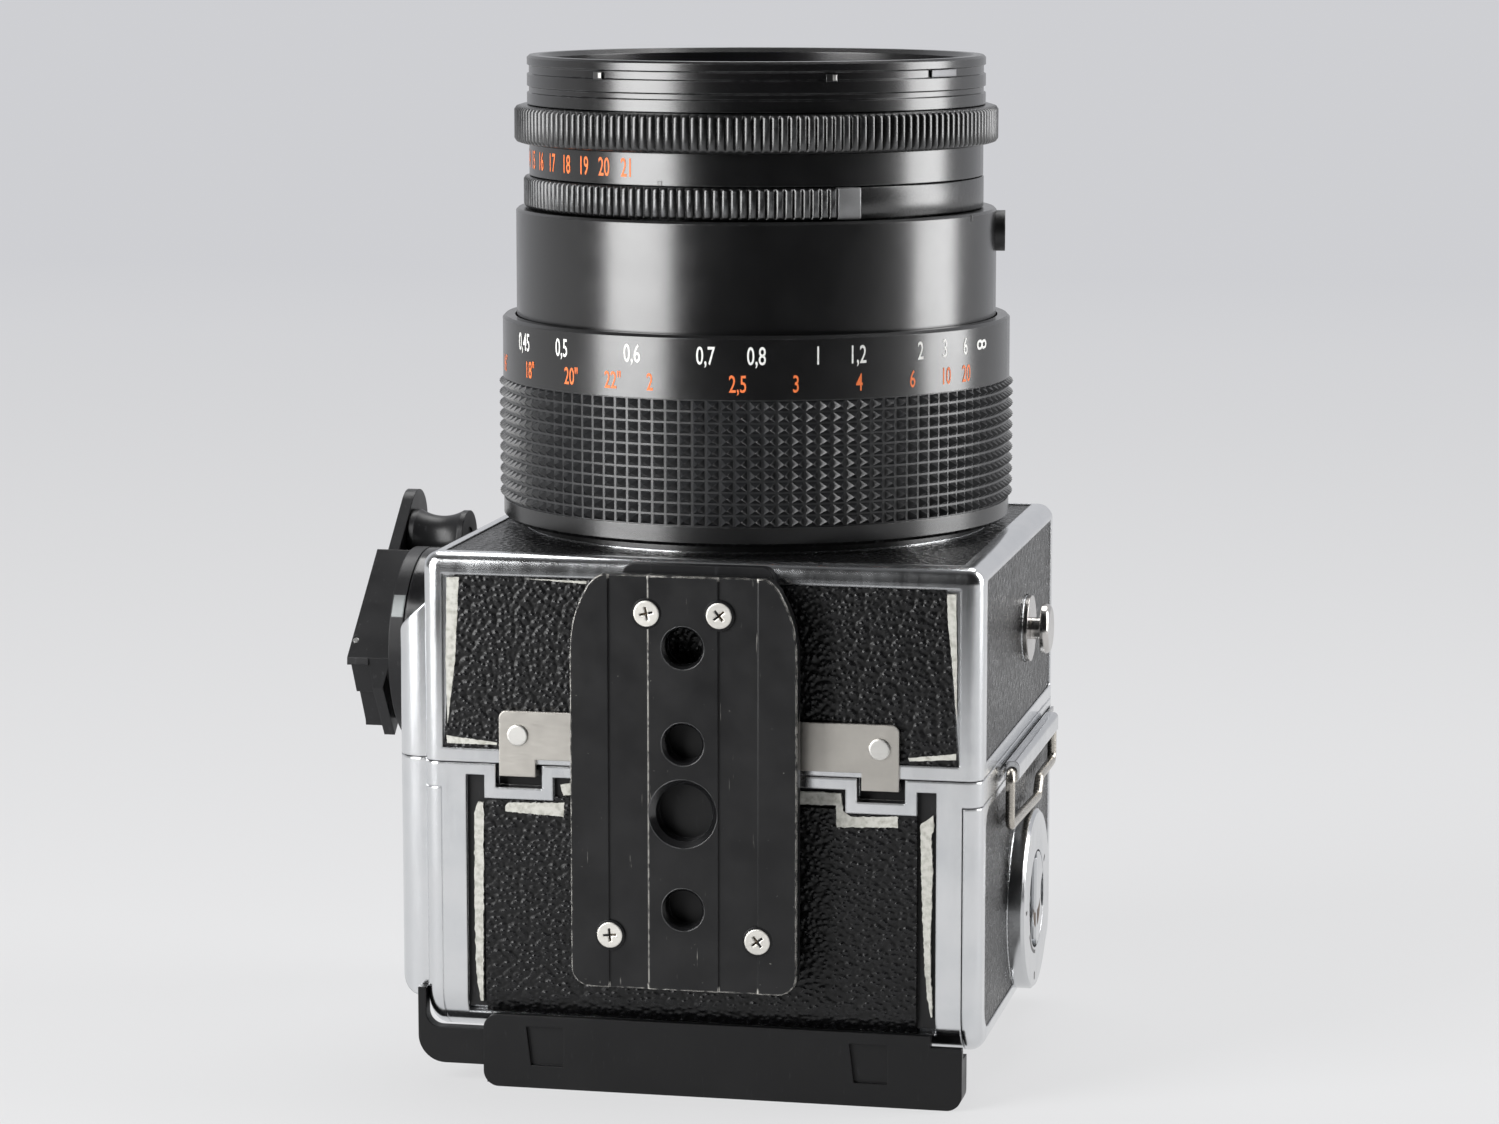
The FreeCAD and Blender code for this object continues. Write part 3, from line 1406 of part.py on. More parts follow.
def insert_frame():
    """The insert's inner frame: end plates, a back, a web behind the pressure plate and the spool pins."""
    x0 = insert_x0
    x1 = x_insert_seam + seam_gap
    back = block(x0, x1, insert_y0, insert_y1, insert_z0, insert_z0 + 1.0)
    ends = [block(x0, x0 + insert_wall, insert_y0, insert_y1, insert_z0, insert_z1 - pressure_plate_thick),
            block(x1 - insert_wall, x1, insert_y0, insert_y1, insert_z0, insert_z1 - pressure_plate_thick)]
    web_y = (spool_places()["supply"] + spool_places()["take_up"]) / 2
    web = block(x0, x1, web_y - 0.8, web_y + 0.8, insert_z0, insert_z1 - pressure_plate_thick)
    pins = []
    for y in spool_places().values():
        pins.append(drum(spool_pin_radius, spool_pin_bite - spool_long / 2 - x0, Vector(x0, y, spool_z),
                         X_AXIS))
        start = spool_long / 2 - spool_pin_bite
        pins.append(drum(spool_pin_radius, x1 - start, Vector(start, y, spool_z), X_AXIS))
    rollers = [drum(roller_radius, x1 - x0, Vector(x0, y, insert_z1 - roller_below_gate), X_AXIS)
               for y in (insert_y0 + roller_inset, insert_y1 - roller_inset)]
    disc_pin_room = drum(disc_pin_radius + slide_gap, insert_wall + 2,
                         Vector(x1 - insert_wall - 1, disc_from_axis, disc_z),
                         X_AXIS)
    return fused([back] + ends + [web] + pins + rollers).cut(disc_pin_room)


def pressure_plate():
    half_wide = gate_wide / 2 + pressure_plate_past_gate
    half_tall = gate_wide / 2 - pressure_plate_in_gate
    return soft_block(-half_wide, half_wide, -half_tall, half_tall, insert_z1 - pressure_plate_thick,
                      insert_z1,
                      2.0, Z_AXIS)


def film_spool(y, wound):
    """A flanged film spool, with film wound on its core."""
    half = spool_long / 2
    centre = Vector(-half, y, spool_z)
    core = drum(wound, spool_long, centre, X_AXIS)
    flanges = [drum(spool_radius, spool_flange, centre, X_AXIS),
               drum(spool_radius, spool_flange, centre + X_AXIS * (spool_long - spool_flange), X_AXIS)]
    bore = drum(spool_pin_radius + running_gap, spool_long + 2, centre - X_AXIS, X_AXIS)
    return fused([core] + flanges).cut(bore)


def key_disc():
    """The round key that locks the insert in the magazine."""
    disc = drum(disc_radius, disc_thick, Vector(x_left, disc_from_axis, disc_z), X_AXIS)
    disc = disc.makeChamfer(0.5, edges_at(disc, X_AXIS, x_left + disc_thick))
    pin = drum(disc_pin_radius, disc_pin_long, Vector(x_left - disc_pin_long, disc_from_axis, disc_z),
               X_AXIS)
    seat = drum(key_radius + slide_gap, key_sink,
                Vector(x_left + disc_thick - key_sink, disc_from_axis, disc_z), X_AXIS)
    return fused([disc, pin]).cut(seat)


def key_tab():
    """The half-round tab that folds out of the key disc."""
    x0 = x_left + disc_thick - key_thick
    tab = drum(key_radius, key_thick, Vector(x0, disc_from_axis, disc_z), X_AXIS)
    keep = block(x0 - 1, x0 + 3, disc_from_axis, disc_from_axis + disc_radius, disc_z - disc_radius,
                 disc_z + disc_radius)
    notch = drum(key_notch_radius, key_thick + 2, Vector(x0 - 1, disc_from_axis + key_radius, disc_z),
                 X_AXIS)
    half_long = key_radius - key_thick
    hinge = drum(key_thick / 2, half_long * 2,
                 Vector(x0 + key_thick / 2, disc_from_axis, disc_z - half_long), Z_AXIS)
    return fused([tab.common(keep).cut(notch), hinge])


def bail_x():
    return x_left + seam_gap + grip_deep / 2


def slide_sheet(grow):
    """The dark slide's blade, whose outer end stops short of the bail."""
    half = gate_wide / 2 + slide_past_gate + grow
    return block(x_left - slide_reach, bail_x() - bail_wire - slide_end_clear, -half, half, slide_z,
                 slide_z + slide_thick)


def slide_blade():
    return slide_sheet(0)


def grip_span():
    return grip_off_axis - grip_long_y / 2, grip_off_axis + grip_long_y / 2


def slide_grip():
    """The bar along the outer edge of the dark slide."""
    y0, y1 = grip_span()
    x0 = x_left + seam_gap
    z1 = slide_z + slide_thick + 0.9
    bar = soft_block(x0, x0 + grip_deep, y0, y1, z1 - grip_tall, z1, grip_round, Y_AXIS)
    bite = bail_bite + slide_gap
    holes = [drum(bail_wire + running_gap, bite + 1, Vector(bail_x(), y, z1 - grip_tall / 2), Y_AXIS)
             for y in (y0 - 1, y1 - bite)]
    return cut_all(bar, holes + [slide_sheet(running_gap)])


def slide_bail():
    """The wire bail that hangs from the grip, with a jog in its foot."""
    y0, y1 = grip_span()
    x = bail_x()
    top = slide_z + slide_thick + 0.9 - grip_tall / 2
    low = top - bail_drop
    near, far = y0 - bail_overhang, y1 + bail_overhang
    jog = bail_jog_from_axis
    points = [Vector(x, y0 + bail_bite, top), Vector(x, near, top), Vector(x, near, low),
              Vector(x, jog, low - bail_dip),
              Vector(x, jog + bail_jog_long, low + bail_step), Vector(x, far, low + bail_step),
              Vector(x, far, top),
              Vector(x, y1 - bail_bite, top)]
    return wire_tube(points, bail_wire, bail_bend)


def wire_tube(points, radius, bend):
    """A round wire along straight runs joined by tangent arcs."""
    edges = []
    start = points[0]
    for number in range(1, len(points) - 1):
        corner = points[number]
        before = (start - corner).normalize()
        after = (points[number + 1] - corner).normalize()
        half_turn = (math.pi - before.getAngle(after)) / 2
        reach = bend * math.tan(half_turn)
        into, out = corner + before * reach, corner + after * reach
        inward = (before + after).normalize()
        middle = corner + inward * (bend / math.cos(half_turn) - bend)
        edges.append(Part.makeLine(start, into))
        edges.append(Part.Arc(into, middle, out).toShape())
        start = out
    edges.append(Part.makeLine(start, points[-1]))
    path = Part.Wire(edges)
    circle = Part.Wire(Part.Circle(points[0], points[1] - points[0], radius).toShape())
    return path.makePipeShell([circle], True, False)


def node_shapes():
    shapes = {
        "body_shell": body_shell(), "body_leather_under": body_leather_under(),
        "body_leather_top": body_leather_top(), "body_leather_left": body_leather_left(),
        "body_leather_right": body_leather_right(), "body_leather_front": body_leather_front(),
        "body_gear_cover": body_gear_cover(), "hook_plate": hook_plate(), "hook_rivets": hook_rivets(),
        "plate_backing": plate_backing(), "tripod_plate": tripod_plate(), "plate_screws": plate_screws(),
        "strap_lugs": strap_lugs(), "accessory_shoe": accessory_shoe(), "level_case": level_case(),
        "level_vial": level_vial(), "release_collar": release_collar(), "release_button": release_button(),
        "crank_hub": crank_hub(), "crank_hinge_pin": crank_hinge_pin(),
        "crank_arm": crank_arm(), "crank_knob": crank_knob(), "winding_shaft": winding_shaft(),
        "idler_gear": idler_gear(), "focus_tube": focus_tube(), "focus_ring": focus_ring(),
        "focus_grip": focus_grip(),
        "lens_barrel": lens_barrel_with_socket_hole(), "aperture_ring": aperture_ring(),
        "ev_ring": ev_ring(),
        "shutter_ring": shutter_ring(), "front_bezel": front_bezel(), "front_glass": front_glass(),
        "rear_cell": rear_cell(), "rear_glass": rear_glass(), "iris_housing": iris_housing(),
        "sync_socket": sync_socket(), "magazine_shell": magazine_shell(),
        "magazine_leather": magazine_leather(),
        "magazine_gear_cover": magazine_gear_cover(), "magazine_gear": magazine_gear(),
        "wind_key": wind_key(), "magazine_catch": magazine_catch(), "slide_holder": slide_holder(),
        "insert_side_plate": insert_side_plate(), "insert_leather": insert_leather(),
        "insert_frame": insert_frame(),
        "pressure_plate": pressure_plate(), "key_disc": key_disc(), "key_tab": key_tab(),
        "slide_blade": slide_blade(), "slide_grip": slide_grip(), "slide_bail": slide_bail()}
    for number in range(iris_blades):
        shapes["iris_blade_" + str(number + 1)] = iris_blade(number)
    shapes["supply_spool"] = film_spool(spool_places()["supply"], spool_radius - 2.4)
    shapes["take_up_spool"] = film_spool(spool_places()["take_up"], spool_core)
    return shapes


os.makedirs("parts", exist_ok=True)
for name, shape in node_shapes().items():
    shape.exportStep("parts/" + name + ".step")
    print(name, "solids", len(shape.Solids), "valid", shape.isValid(), "volume", round(shape.Volume, 1))
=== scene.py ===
import math

import bmesh
import bpy
from mathutils import Matrix, Vector, noise


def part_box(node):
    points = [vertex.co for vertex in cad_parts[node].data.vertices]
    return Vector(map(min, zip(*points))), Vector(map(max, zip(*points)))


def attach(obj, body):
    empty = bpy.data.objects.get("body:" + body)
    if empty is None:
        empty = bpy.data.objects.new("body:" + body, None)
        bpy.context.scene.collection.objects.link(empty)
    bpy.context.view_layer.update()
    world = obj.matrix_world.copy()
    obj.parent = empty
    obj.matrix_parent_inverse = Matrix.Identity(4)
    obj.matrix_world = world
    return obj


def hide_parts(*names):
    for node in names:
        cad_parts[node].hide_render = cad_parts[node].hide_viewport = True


bl_info = {
    "name": "Medium format film camera",
    "version": (1, 0, 0),
    "blender": (4, 5, 0),
    "location": "View3D > Sidebar > Film Camera",
    "description": "Dresses a short-bodied film camera with its finishes, scales and knurling",
    "category": "Object",
}

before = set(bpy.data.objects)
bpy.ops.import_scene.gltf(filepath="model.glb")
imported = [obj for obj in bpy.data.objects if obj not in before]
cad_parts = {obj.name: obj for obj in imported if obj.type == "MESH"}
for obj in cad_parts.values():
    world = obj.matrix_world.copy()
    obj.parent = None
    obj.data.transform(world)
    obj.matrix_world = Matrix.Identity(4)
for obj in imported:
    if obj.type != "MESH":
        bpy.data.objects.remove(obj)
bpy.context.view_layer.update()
MM = 0.001

# The photograph looks at the underside from a little to the camera's left and a little above.
VIEW_BEARING = math.radians(-78.157)
VIEW_RISE = math.radians(8.417)
VIEW_PLACE = (0.15493, -0.74458, 0.19488)
PHOTO_WIDTH_PIXELS = 1499
FOCAL_LENGTH_PIXELS = 4397.3
SENSOR_WIDTH_MM = 36.0

# Radii of the lens that no box of a node gives.
BARREL_RADIUS = 0.04145
RING_BORE = 0.03525
SMOOTH_RING_RADIUS = 0.0392
EXPOSURE_RING_RADIUS = 0.0391
GRIP_SEAT_RADIUS = 0.0424

# A rib's depth at each step across it, as a share of the groove's depth.
RIB_SHAPE = (1.0, 0.42, 0.08, 0.0, 0.0, 0.08, 0.42)

# A capital's height as a share of the letter size, and how far paint is fattened and stands out.
CAPITAL_SHARE = 0.73
FIGURE_BOLD = 0.008
PAINT_THICK = 0.00004

# Without a seed of its own the noise takes the clock's, and a seed of zero means the clock too.
EDGE_SEED = 1


class FILMCAMERA_sizes(bpy.types.PropertyGroup):
    rib_pitch: bpy.props.FloatProperty(
        name="Rib pitch", description="Distance between the ribs round the two lens rings",
        default=0.00151, unit="LENGTH", precision=5)
    rib_depth: bpy.props.FloatProperty(
        name="Rib depth", description="Depth of the grooves between the ribs",
        default=0.00055, unit="LENGTH", precision=5)
    knurl_columns: bpy.props.IntProperty(
        name="Knurl columns", description="Pyramids round the rubber grip", default=117, min=12)
    knurl_rows: bpy.props.IntProperty(
        name="Knurl rows", description="Pyramids up the rubber grip", default=11, min=2)
    knurl_depth: bpy.props.FloatProperty(
        name="Knurl depth", description="Height of each rubber pyramid",
        default=0.00105, unit="LENGTH", precision=5)
    numeral_height: bpy.props.FloatProperty(
        name="Numeral height", description="Height of the figures on the focusing scale",
        default=0.0031, unit="LENGTH", precision=5)
    leather_pebble: bpy.props.FloatProperty(
        name="Leather pebble", description="Width of one pebble of the leather grain",
        default=0.00092, unit="LENGTH", precision=5)


class FILMCAMERA_colours(bpy.types.PropertyGroup):
    chrome: bpy.props.FloatVectorProperty(
        name="Chrome", description="Satin chrome of body and magazine",
        subtype="COLOR", size=3, min=0, max=1, default=(0.74, 0.748, 0.758))
    leather: bpy.props.FloatVectorProperty(
        name="Leather", description="Black leather covering",
        subtype="COLOR", size=3, min=0, max=1, default=(0.0045, 0.0045, 0.005))
    lens_black: bpy.props.FloatVectorProperty(
        name="Lens black", description="Satin black of the lens barrel and rings",
        subtype="COLOR", size=3, min=0, max=1, default=(0.0026, 0.0026, 0.0028))
    rubber: bpy.props.FloatVectorProperty(
        name="Rubber", description="Knurled rubber of the focusing grip",
        subtype="COLOR", size=3, min=0, max=1, default=(0.010, 0.0105, 0.0115))
    white_figures: bpy.props.FloatVectorProperty(
        name="White figures", description="Paint of the white scale",
        subtype="COLOR", size=3, min=0, max=1, default=(0.76, 0.76, 0.73))
    orange_figures: bpy.props.FloatVectorProperty(
        name="Orange figures", description="Paint of the orange scale",
        subtype="COLOR", size=3, min=0, max=1, default=(0.78, 0.18, 0.05))
    floor: bpy.props.FloatVectorProperty(
        name="Floor", description="Pale floor and backdrop",
        subtype="COLOR", size=3, min=0, max=1, default=(0.80, 0.805, 0.82))


class Finish:
    """A material drawn node by node. Textures are placed by the object's own metres."""

    def __init__(self, name, colour, metallic=0.0, roughness=0.5, **sockets):
        self.material = bpy.data.materials.new(name)
        self.material.use_nodes = True
        self.tree = self.material.node_tree
        self.shader = self.tree.nodes["Principled BSDF"]
        self.place = self.tree.nodes.new("ShaderNodeTexCoord").outputs["Object"]
        self.shader.inputs["Base Color"].default_value = (*colour, 1.0)
        self.shader.inputs["Metallic"].default_value = metallic
        self.shader.inputs["Roughness"].default_value = roughness
        for name, value in sockets.items():
            self.shader.inputs[name.replace("_", " ")].default_value = value

    def node(self, kind, settings=None, **inputs):
        """A node with its settings. Each input goes by its name, or by its number as i0, i1 and so on."""
        node = self.tree.nodes.new(kind)
        for key, value in (settings or {}).items():
            setattr(node, key, value)
        for key, value in inputs.items():
            numbered = key[0] == "i" and key[1:].isdigit()
            socket = node.inputs[int(key[1:]) if numbered else key.replace("_", " ")]
            if isinstance(value, bpy.types.NodeSocket):
                self.tree.links.new(value, socket)
            else:
                socket.default_value = value
        return node

    def stretched(self, along):
        """The texture space pulled out along each axis by these factors."""
        shrink = tuple(1 / factor for factor in along)
        return self.node("ShaderNodeMapping", Vector=self.place, Scale=shrink).outputs[0]

    def mottle(self, size, detail=3.0, along=None):
        """Soft patches about one size across."""
        place = self.stretched(along) if along else self.place
        return self.node("ShaderNodeTexNoise", Vector=place, Scale=1 / size, Detail=detail,
                         Roughness=0.55).outputs["Fac"]

    def pebbles(self, size, wander, along=None):
        """Rounded cells about one size across, with edges that wander."""
        place = self.stretched(along) if along else self.place
        drift = self.node("ShaderNodeTexNoise", Vector=place, Scale=1.3 / size, Detail=2.0).outputs["Color"]
        scaled = self.node("ShaderNodeVectorMath", {"operation": "SCALE"}, i0=drift, Scale=wander * size)
        place = self.vector("ADD", place, scaled.outputs[0])
        return self.node("ShaderNodeTexVoronoi", {"feature": "SMOOTH_F1"}, Vector=place, Scale=1 / size,
                         Smoothness=0.6).outputs["Distance"]

    def calc(self, kind, a, b=0.5, clamp=False):
        """One step of arithmetic on two values."""
        return self.node("ShaderNodeMath", {"operation": kind, "use_clamp": clamp}, i0=a, i1=b).outputs[0]

    def vector(self, kind, first, second, output=0):
        """One step of arithmetic on two vectors."""
        return self.node("ShaderNodeVectorMath", {"operation": kind}, i0=first, i1=second).outputs[output]

    def length(self, vector):
        return self.node("ShaderNodeVectorMath", {"operation": "LENGTH"}, i0=vector).outputs["Value"]

    def span(self, value, low, high, to_low=0.0, to_high=1.0):
        """Value spread from one range to another, held at its ends."""
        return self.node("ShaderNodeMapRange", Value=value, From_Min=low, From_Max=high, To_Min=to_low,
                         To_Max=to_high).outputs["Result"]

    def blend(self, share, first, second):
        """A colour that goes from the first to the second with the share."""
        first = first if isinstance(first, bpy.types.NodeSocket) else (*first, 1.0)
        second = second if isinstance(second, bpy.types.NodeSocket) else (*second, 1.0)
        node = self.node("ShaderNodeMix", {"data_type": "RGBA"}, i0=share, i6=first, i7=second)
        return node.outputs[2]

    def soft_edges(self, radius):
        """The surface's direction as if its edges were rounded."""
        return self.node("ShaderNodeBevel", {"samples": 4}, Radius=radius).outputs[0]

    def rubbed_edges(self, radius, size=0.0016, low=0.04, high=0.22):
        """Where an edge lies within the radius and the rubbing is uneven."""
        flat = self.node("ShaderNodeNewGeometry").outputs["Normal"]
        meet = self.vector("DOT_PRODUCT", self.soft_edges(radius), flat, "Value")
        corner = self.calc("SUBTRACT", 1.0, meet)
        uneven = self.span(self.mottle(size, 4.0), 0.35, 0.65, 0.1, 1.6)
        return self.span(self.calc("MULTIPLY", corner, uneven), low, high)

    def relief(self, height, depth, strength, normal=None):
        """The surface's direction over a relief this deep."""
        inputs = {"Height": height, "Distance": depth, "Strength": strength}
        if normal:
            inputs["Normal"] = normal
        return self.node("ShaderNodeBump", **inputs).outputs[0]

    def on_wall(self, y, z, inner, outer):
        """Where a point's distance from an axis along X lies between two radii."""
        away = self.vector("SUBTRACT", self.place, (0.0, y, z))
        away = self.length(self.vector("MULTIPLY", away, (0.0, 1.0, 1.0)))
        edge = 0.00002
        beyond = self.span(away, inner, inner + edge)
        within = self.span(away, outer, outer + edge, 1.0, 0.0)
        return self.calc("MULTIPLY", beyond, within)

    def coat(self, socket, value):
        """Lead a value into one of the finish's sockets."""
        self.tree.links.new(value, self.shader.inputs[socket])


def shaded(colour, share):
    """The colour with its light scaled by a share."""
    return tuple(share * part for part in colour)


def satin_chrome(name, colour, radius=0.0005, shade_ring=None):
    """Satin chrome with faint clouds and hairlines.

    A shade ring is a ring about an axis along X, painted black as shade, given as the axis's Y and Z and
    the two radii.
    """
    finish = Finish(name, colour, metallic=1.0)
    cloud = finish.mottle(0.009, 4.0)
    streak = finish.mottle(0.0016, 4.0, along=(1.0, 1.0, 9.0))
    clouded = (0.92, 0.93, 0.94)
    dark = tuple(part * share for part, share in zip(colour, clouded))
    shade = finish.blend(finish.span(cloud, 0.35, 0.7), colour, dark)
    if shade_ring:
        # Painted shade: the ring is made black and not metallic where the crank's disc shades the cover.
        wall = finish.on_wall(*shade_ring)
        shade = finish.blend(wall, shade, (0.006, 0.006, 0.0065))
        finish.coat("Metallic", finish.calc("SUBTRACT", 1.0, wall))
    finish.coat("Base Color", shade)
    finish.coat("Roughness", finish.span(finish.calc("ADD", cloud, streak), 0.7, 1.3, 0.13, 0.23))
    grain = finish.mottle(0.00012, 2.0)
    finish.coat("Normal", finish.relief(grain, 0.000002, 0.5, finish.soft_edges(radius)))
    return finish.material


def satin_nickel(name, colour=(0.60, 0.575, 0.53), roughness=0.34):
    finish = Finish(name, colour, metallic=1.0)
    brush = finish.mottle(0.00018, 3.0, along=(14.0, 1.0, 1.0))
    cloud = finish.mottle(0.005, 3.0)
    finish.coat("Base Color", finish.blend(finish.span(cloud, 0.35, 0.7), colour, shaded(colour, 0.88)))
    finish.coat("Roughness", finish.span(brush, 0.3, 0.7, roughness - 0.05, roughness + 0.08))
    finish.coat("Normal", finish.relief(brush, 0.000004, 0.5, finish.soft_edges(0.0003)))
    return finish.material


def pebbled_leather(name, colour, pebble, relief=0.00026, along=None):
    """Black leather: raised pebbles with fine creases between them, glossier on top, the tops painted
    lighter and the creases painted in shade.
    """
    finish = Finish(name, colour, Specular_IOR_Level=0.34)
    cell = finish.pebbles(pebble, 0.22, along)
    crease = finish.mottle(pebble * 0.35, 3.0)
    height = finish.calc("SUBTRACT", 1.0, cell)
    height = finish.calc("ADD", height, finish.calc("MULTIPLY", crease, 0.10))
    worn = finish.span(finish.mottle(0.014, 4.0), 0.45, 0.75)
    # Painted light and shade: pebble tops are painted lighter and the creases between them darker.
    top = shaded(colour, 1.5)
    finish.coat("Base Color", finish.blend(finish.span(cell, 0.15, 0.6), top, shaded(colour, 0.3)))
    gloss = finish.span(cell, 0.1, 0.6, 0.13, 0.34)
    finish.coat("Roughness", finish.calc("ADD", gloss, finish.calc("MULTIPLY", worn, 0.06)))
    finish.coat("Normal", finish.relief(height, relief, 1.0))
    return finish.material


def lens_black(name, colour, rubbed=0.5, roughness=0.225, crest=None, bare=(0.12, 0.122, 0.125)):
    """Satin black metal, bare along rubbed edges and on crests at a distance from the lens axis."""
    finish = Finish(name, colour, Specular_IOR_Level=0.95)
    rubbing = finish.calc("MULTIPLY", finish.rubbed_edges(0.00022), rubbed)
    if crest:
        away = finish.length(finish.vector("MULTIPLY", finish.place, (1.0, 1.0, 0.0)))
        uneven = finish.span(finish.mottle(0.0016, 5.0), 0.36, 0.66, 0.05, 1.0)
        worn = finish.calc("MULTIPLY", finish.span(away, crest - 0.00008, crest - 0.00001), uneven)
        rubbing = finish.calc("MAXIMUM", rubbing, worn)
    cloud = finish.mottle(0.006, 4.0)
    grain = finish.mottle(0.00006, 2.0)
    black = finish.blend(finish.span(cloud, 0.3, 0.75), colour, shaded(colour, 1.35))
    finish.coat("Base Color", finish.blend(rubbing, black, bare))
    uneven = finish.calc("ADD", cloud, grain)
    finish.coat("Roughness", finish.span(uneven, 0.7, 1.3, roughness - 0.02, roughness + 0.04))
    finish.coat("Normal", finish.relief(grain, 0.000003, 0.6, finish.soft_edges(0.00016)))
    return finish.material


def moulded_plastic(name, colour, roughness=0.36):
    finish = Finish(name, colour, Specular_IOR_Level=0.30)
    grain = finish.mottle(0.00022, 3.0)
    cloud = finish.mottle(0.007, 4.0)
    scuff = finish.span(finish.mottle(0.0007, 6.0, along=(1.0, 1.0, 5.0)), 0.62, 0.72)
    finish.coat("Base Color", finish.blend(scuff, colour, shaded(colour, 3.0)))
    finish.coat("Roughness", finish.span(cloud, 0.3, 0.75, roughness - 0.05, roughness + 0.10))
    finish.coat("Normal", finish.relief(grain, 0.000006, 0.6, finish.soft_edges(0.0003)))
    return finish.material


def knurled_rubber(name, colour):
    finish = Finish(name, colour, Specular_IOR_Level=0.75)
    dust = finish.span(finish.mottle(0.0011, 6.0), 0.52, 0.72)
    finish.coat("Base Color", finish.blend(dust, colour, shaded(colour, 1.5)))
    finish.coat("Roughness", finish.span(finish.mottle(0.003, 3.0), 0.3, 0.7, 0.30, 0.40))
    finish.coat("Normal", finish.relief(finish.mottle(0.00009, 3.0), 0.000006, 0.6))
    return finish.material


def scale_paint(name, colour):
    finish = Finish(name, colour, Specular_IOR_Level=0.35)
    chip = finish.span(finish.mottle(0.00035, 5.0), 0.60, 0.70)
    finish.coat("Base Color", finish.blend(chip, colour, shaded(colour, 0.62)))
    finish.coat("Roughness", finish.span(finish.mottle(0.0008, 3.0), 0.3, 0.7, 0.45, 0.6))
    return finish.material


def worn_anodised(name, middle):
    """Black anodised, rubbed bright at its outline, with specks and scratches, and a painted highlight
    along one groove that is broken up like wear.
    """
    finish = Finish(name, (0.008, 0.008, 0.0085), Specular_IOR_Level=0.32)
    across = finish.node("ShaderNodeSeparateXYZ", Vector=finish.place).outputs
    aside = finish.calc("ABSOLUTE", finish.calc("SUBTRACT", across["X"], middle))
    shoulder = finish.calc("MULTIPLY", finish.span(across["Z"], 0.075, 0.088), 0.0046)
    outline = finish.span(finish.calc("ADD", aside, shoulder), 0.0175, 0.0180)
    outline = finish.calc("MAXIMUM", outline, finish.span(across["Z"], 0.0203, 0.0199))
    outline = finish.calc("MAXIMUM", outline, finish.span(across["Z"], 0.0874, 0.0878))
    # Painted highlight: a bright line along the lit edge of the middle band, mottled like wear.
    groove_highlight = finish.calc("ABSOLUTE", finish.calc("SUBTRACT", across["X"], middle - 0.0058))
    groove_highlight = finish.span(groove_highlight, 0.00010, 0.00020, 0.32, 0.0)
    rubbing = finish.rubbed_edges(0.00035, 0.0011, 0.03, 0.12)
    rubbing = finish.calc("MULTIPLY", rubbing, finish.calc("MAXIMUM", outline, groove_highlight))
    groove_highlight = finish.calc("MULTIPLY", groove_highlight, finish.span(finish.mottle(0.0009, 6.0), 0.35, 0.55))
    speck = finish.span(finish.mottle(0.00055, 8.0), 0.735, 0.765)
    scratch = finish.span(finish.mottle(0.0006, 6.0, along=(1.0, 1.0, 16.0)), 0.70, 0.75)
    bare = finish.calc("MAXIMUM", speck, finish.calc("MULTIPLY", scratch, 0.4), True)
    bare = finish.calc("MAXIMUM", bare, finish.calc("MAXIMUM", rubbing, groove_highlight), True)
    cloud = finish.mottle(0.008, 4.0)
    black = finish.blend(finish.span(cloud, 0.35, 0.7), (0.0055, 0.0055, 0.006), (0.011, 0.011, 0.0115))
    finish.coat("Base Color", finish.blend(bare, black, (0.70, 0.68, 0.63)))
    finish.coat("Metallic", finish.calc("MULTIPLY", bare, 0.6))
    finish.coat("Roughness", finish.span(cloud, 0.3, 0.75, 0.30, 0.40))
    grain = finish.mottle(0.00012, 3.0)
    finish.coat("Normal", finish.relief(grain, 0.000006, 0.6, finish.soft_edges(0.00025)))
    return finish.material


def old_glue(name):
    """The pale lining that shows where the leather has shrunk."""
    finish = Finish(name, (0.48, 0.475, 0.43), roughness=0.8, Specular_IOR_Level=0.2)
    stain = finish.span(finish.mottle(0.0012, 6.0), 0.45, 0.72)
    finish.coat("Base Color", finish.blend(stain, (0.50, 0.495, 0.455), (0.27, 0.265, 0.23)))
    finish.coat("Roughness", finish.span(stain, 0.0, 1.0, 0.7, 0.9))
    finish.coat("Normal", finish.relief(finish.mottle(0.0003, 5.0), 0.00006, 0.8))
    return finish.material


def optical_glass(name, tint):
    finish = Finish(name, tint, roughness=0.02, Transmission_Weight=1.0, IOR=1.6, Coat_Weight=0.6,
                    Coat_Roughness=0.02)
    finish.shader.inputs["Coat Tint"].default_value = (0.55, 0.42, 0.95, 1.0)
    finish.coat("Roughness", finish.span(finish.mottle(0.01, 3.0), 0.3, 0.8, 0.015, 0.03))
    return finish.material


def plain_metal(name, colour, roughness=0.3):
    finish = Finish(name, colour, metallic=1.0)
    turned = finish.mottle(0.0004, 4.0, along=(1.0, 1.0, 0.4))
    finish.coat("Base Color", finish.blend(finish.span(turned, 0.3, 0.7), colour, shaded(colour, 0.8)))
    finish.coat("Roughness", finish.span(turned, 0.3, 0.7, roughness - 0.06, roughness + 0.08))
    finish.coat("Normal", finish.relief(turned, 0.000004, 0.5, finish.soft_edges(0.00015)))
    return finish.material


def backing_paper(name):
    finish = Finish(name, (0.30, 0.27, 0.24), roughness=0.7)
    turn = finish.mottle(0.0002, 3.0, along=(30.0, 1.0, 1.0))
    pale, dark = (0.34, 0.31, 0.27), (0.16, 0.15, 0.14)
    finish.coat("Base Color", finish.blend(finish.span(turn, 0.35, 0.65), pale, dark))
    finish.coat("Roughness", finish.span(turn, 0.3, 0.7, 0.6, 0.8))
    return finish.material


def dress(material, *nodes):
    """Give CAD nodes their finish."""
    for name in nodes:
        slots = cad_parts[name].data.materials
        if len(slots):
            for number in range(len(slots)):
                slots[number] = material
        else:
            slots.append(material)


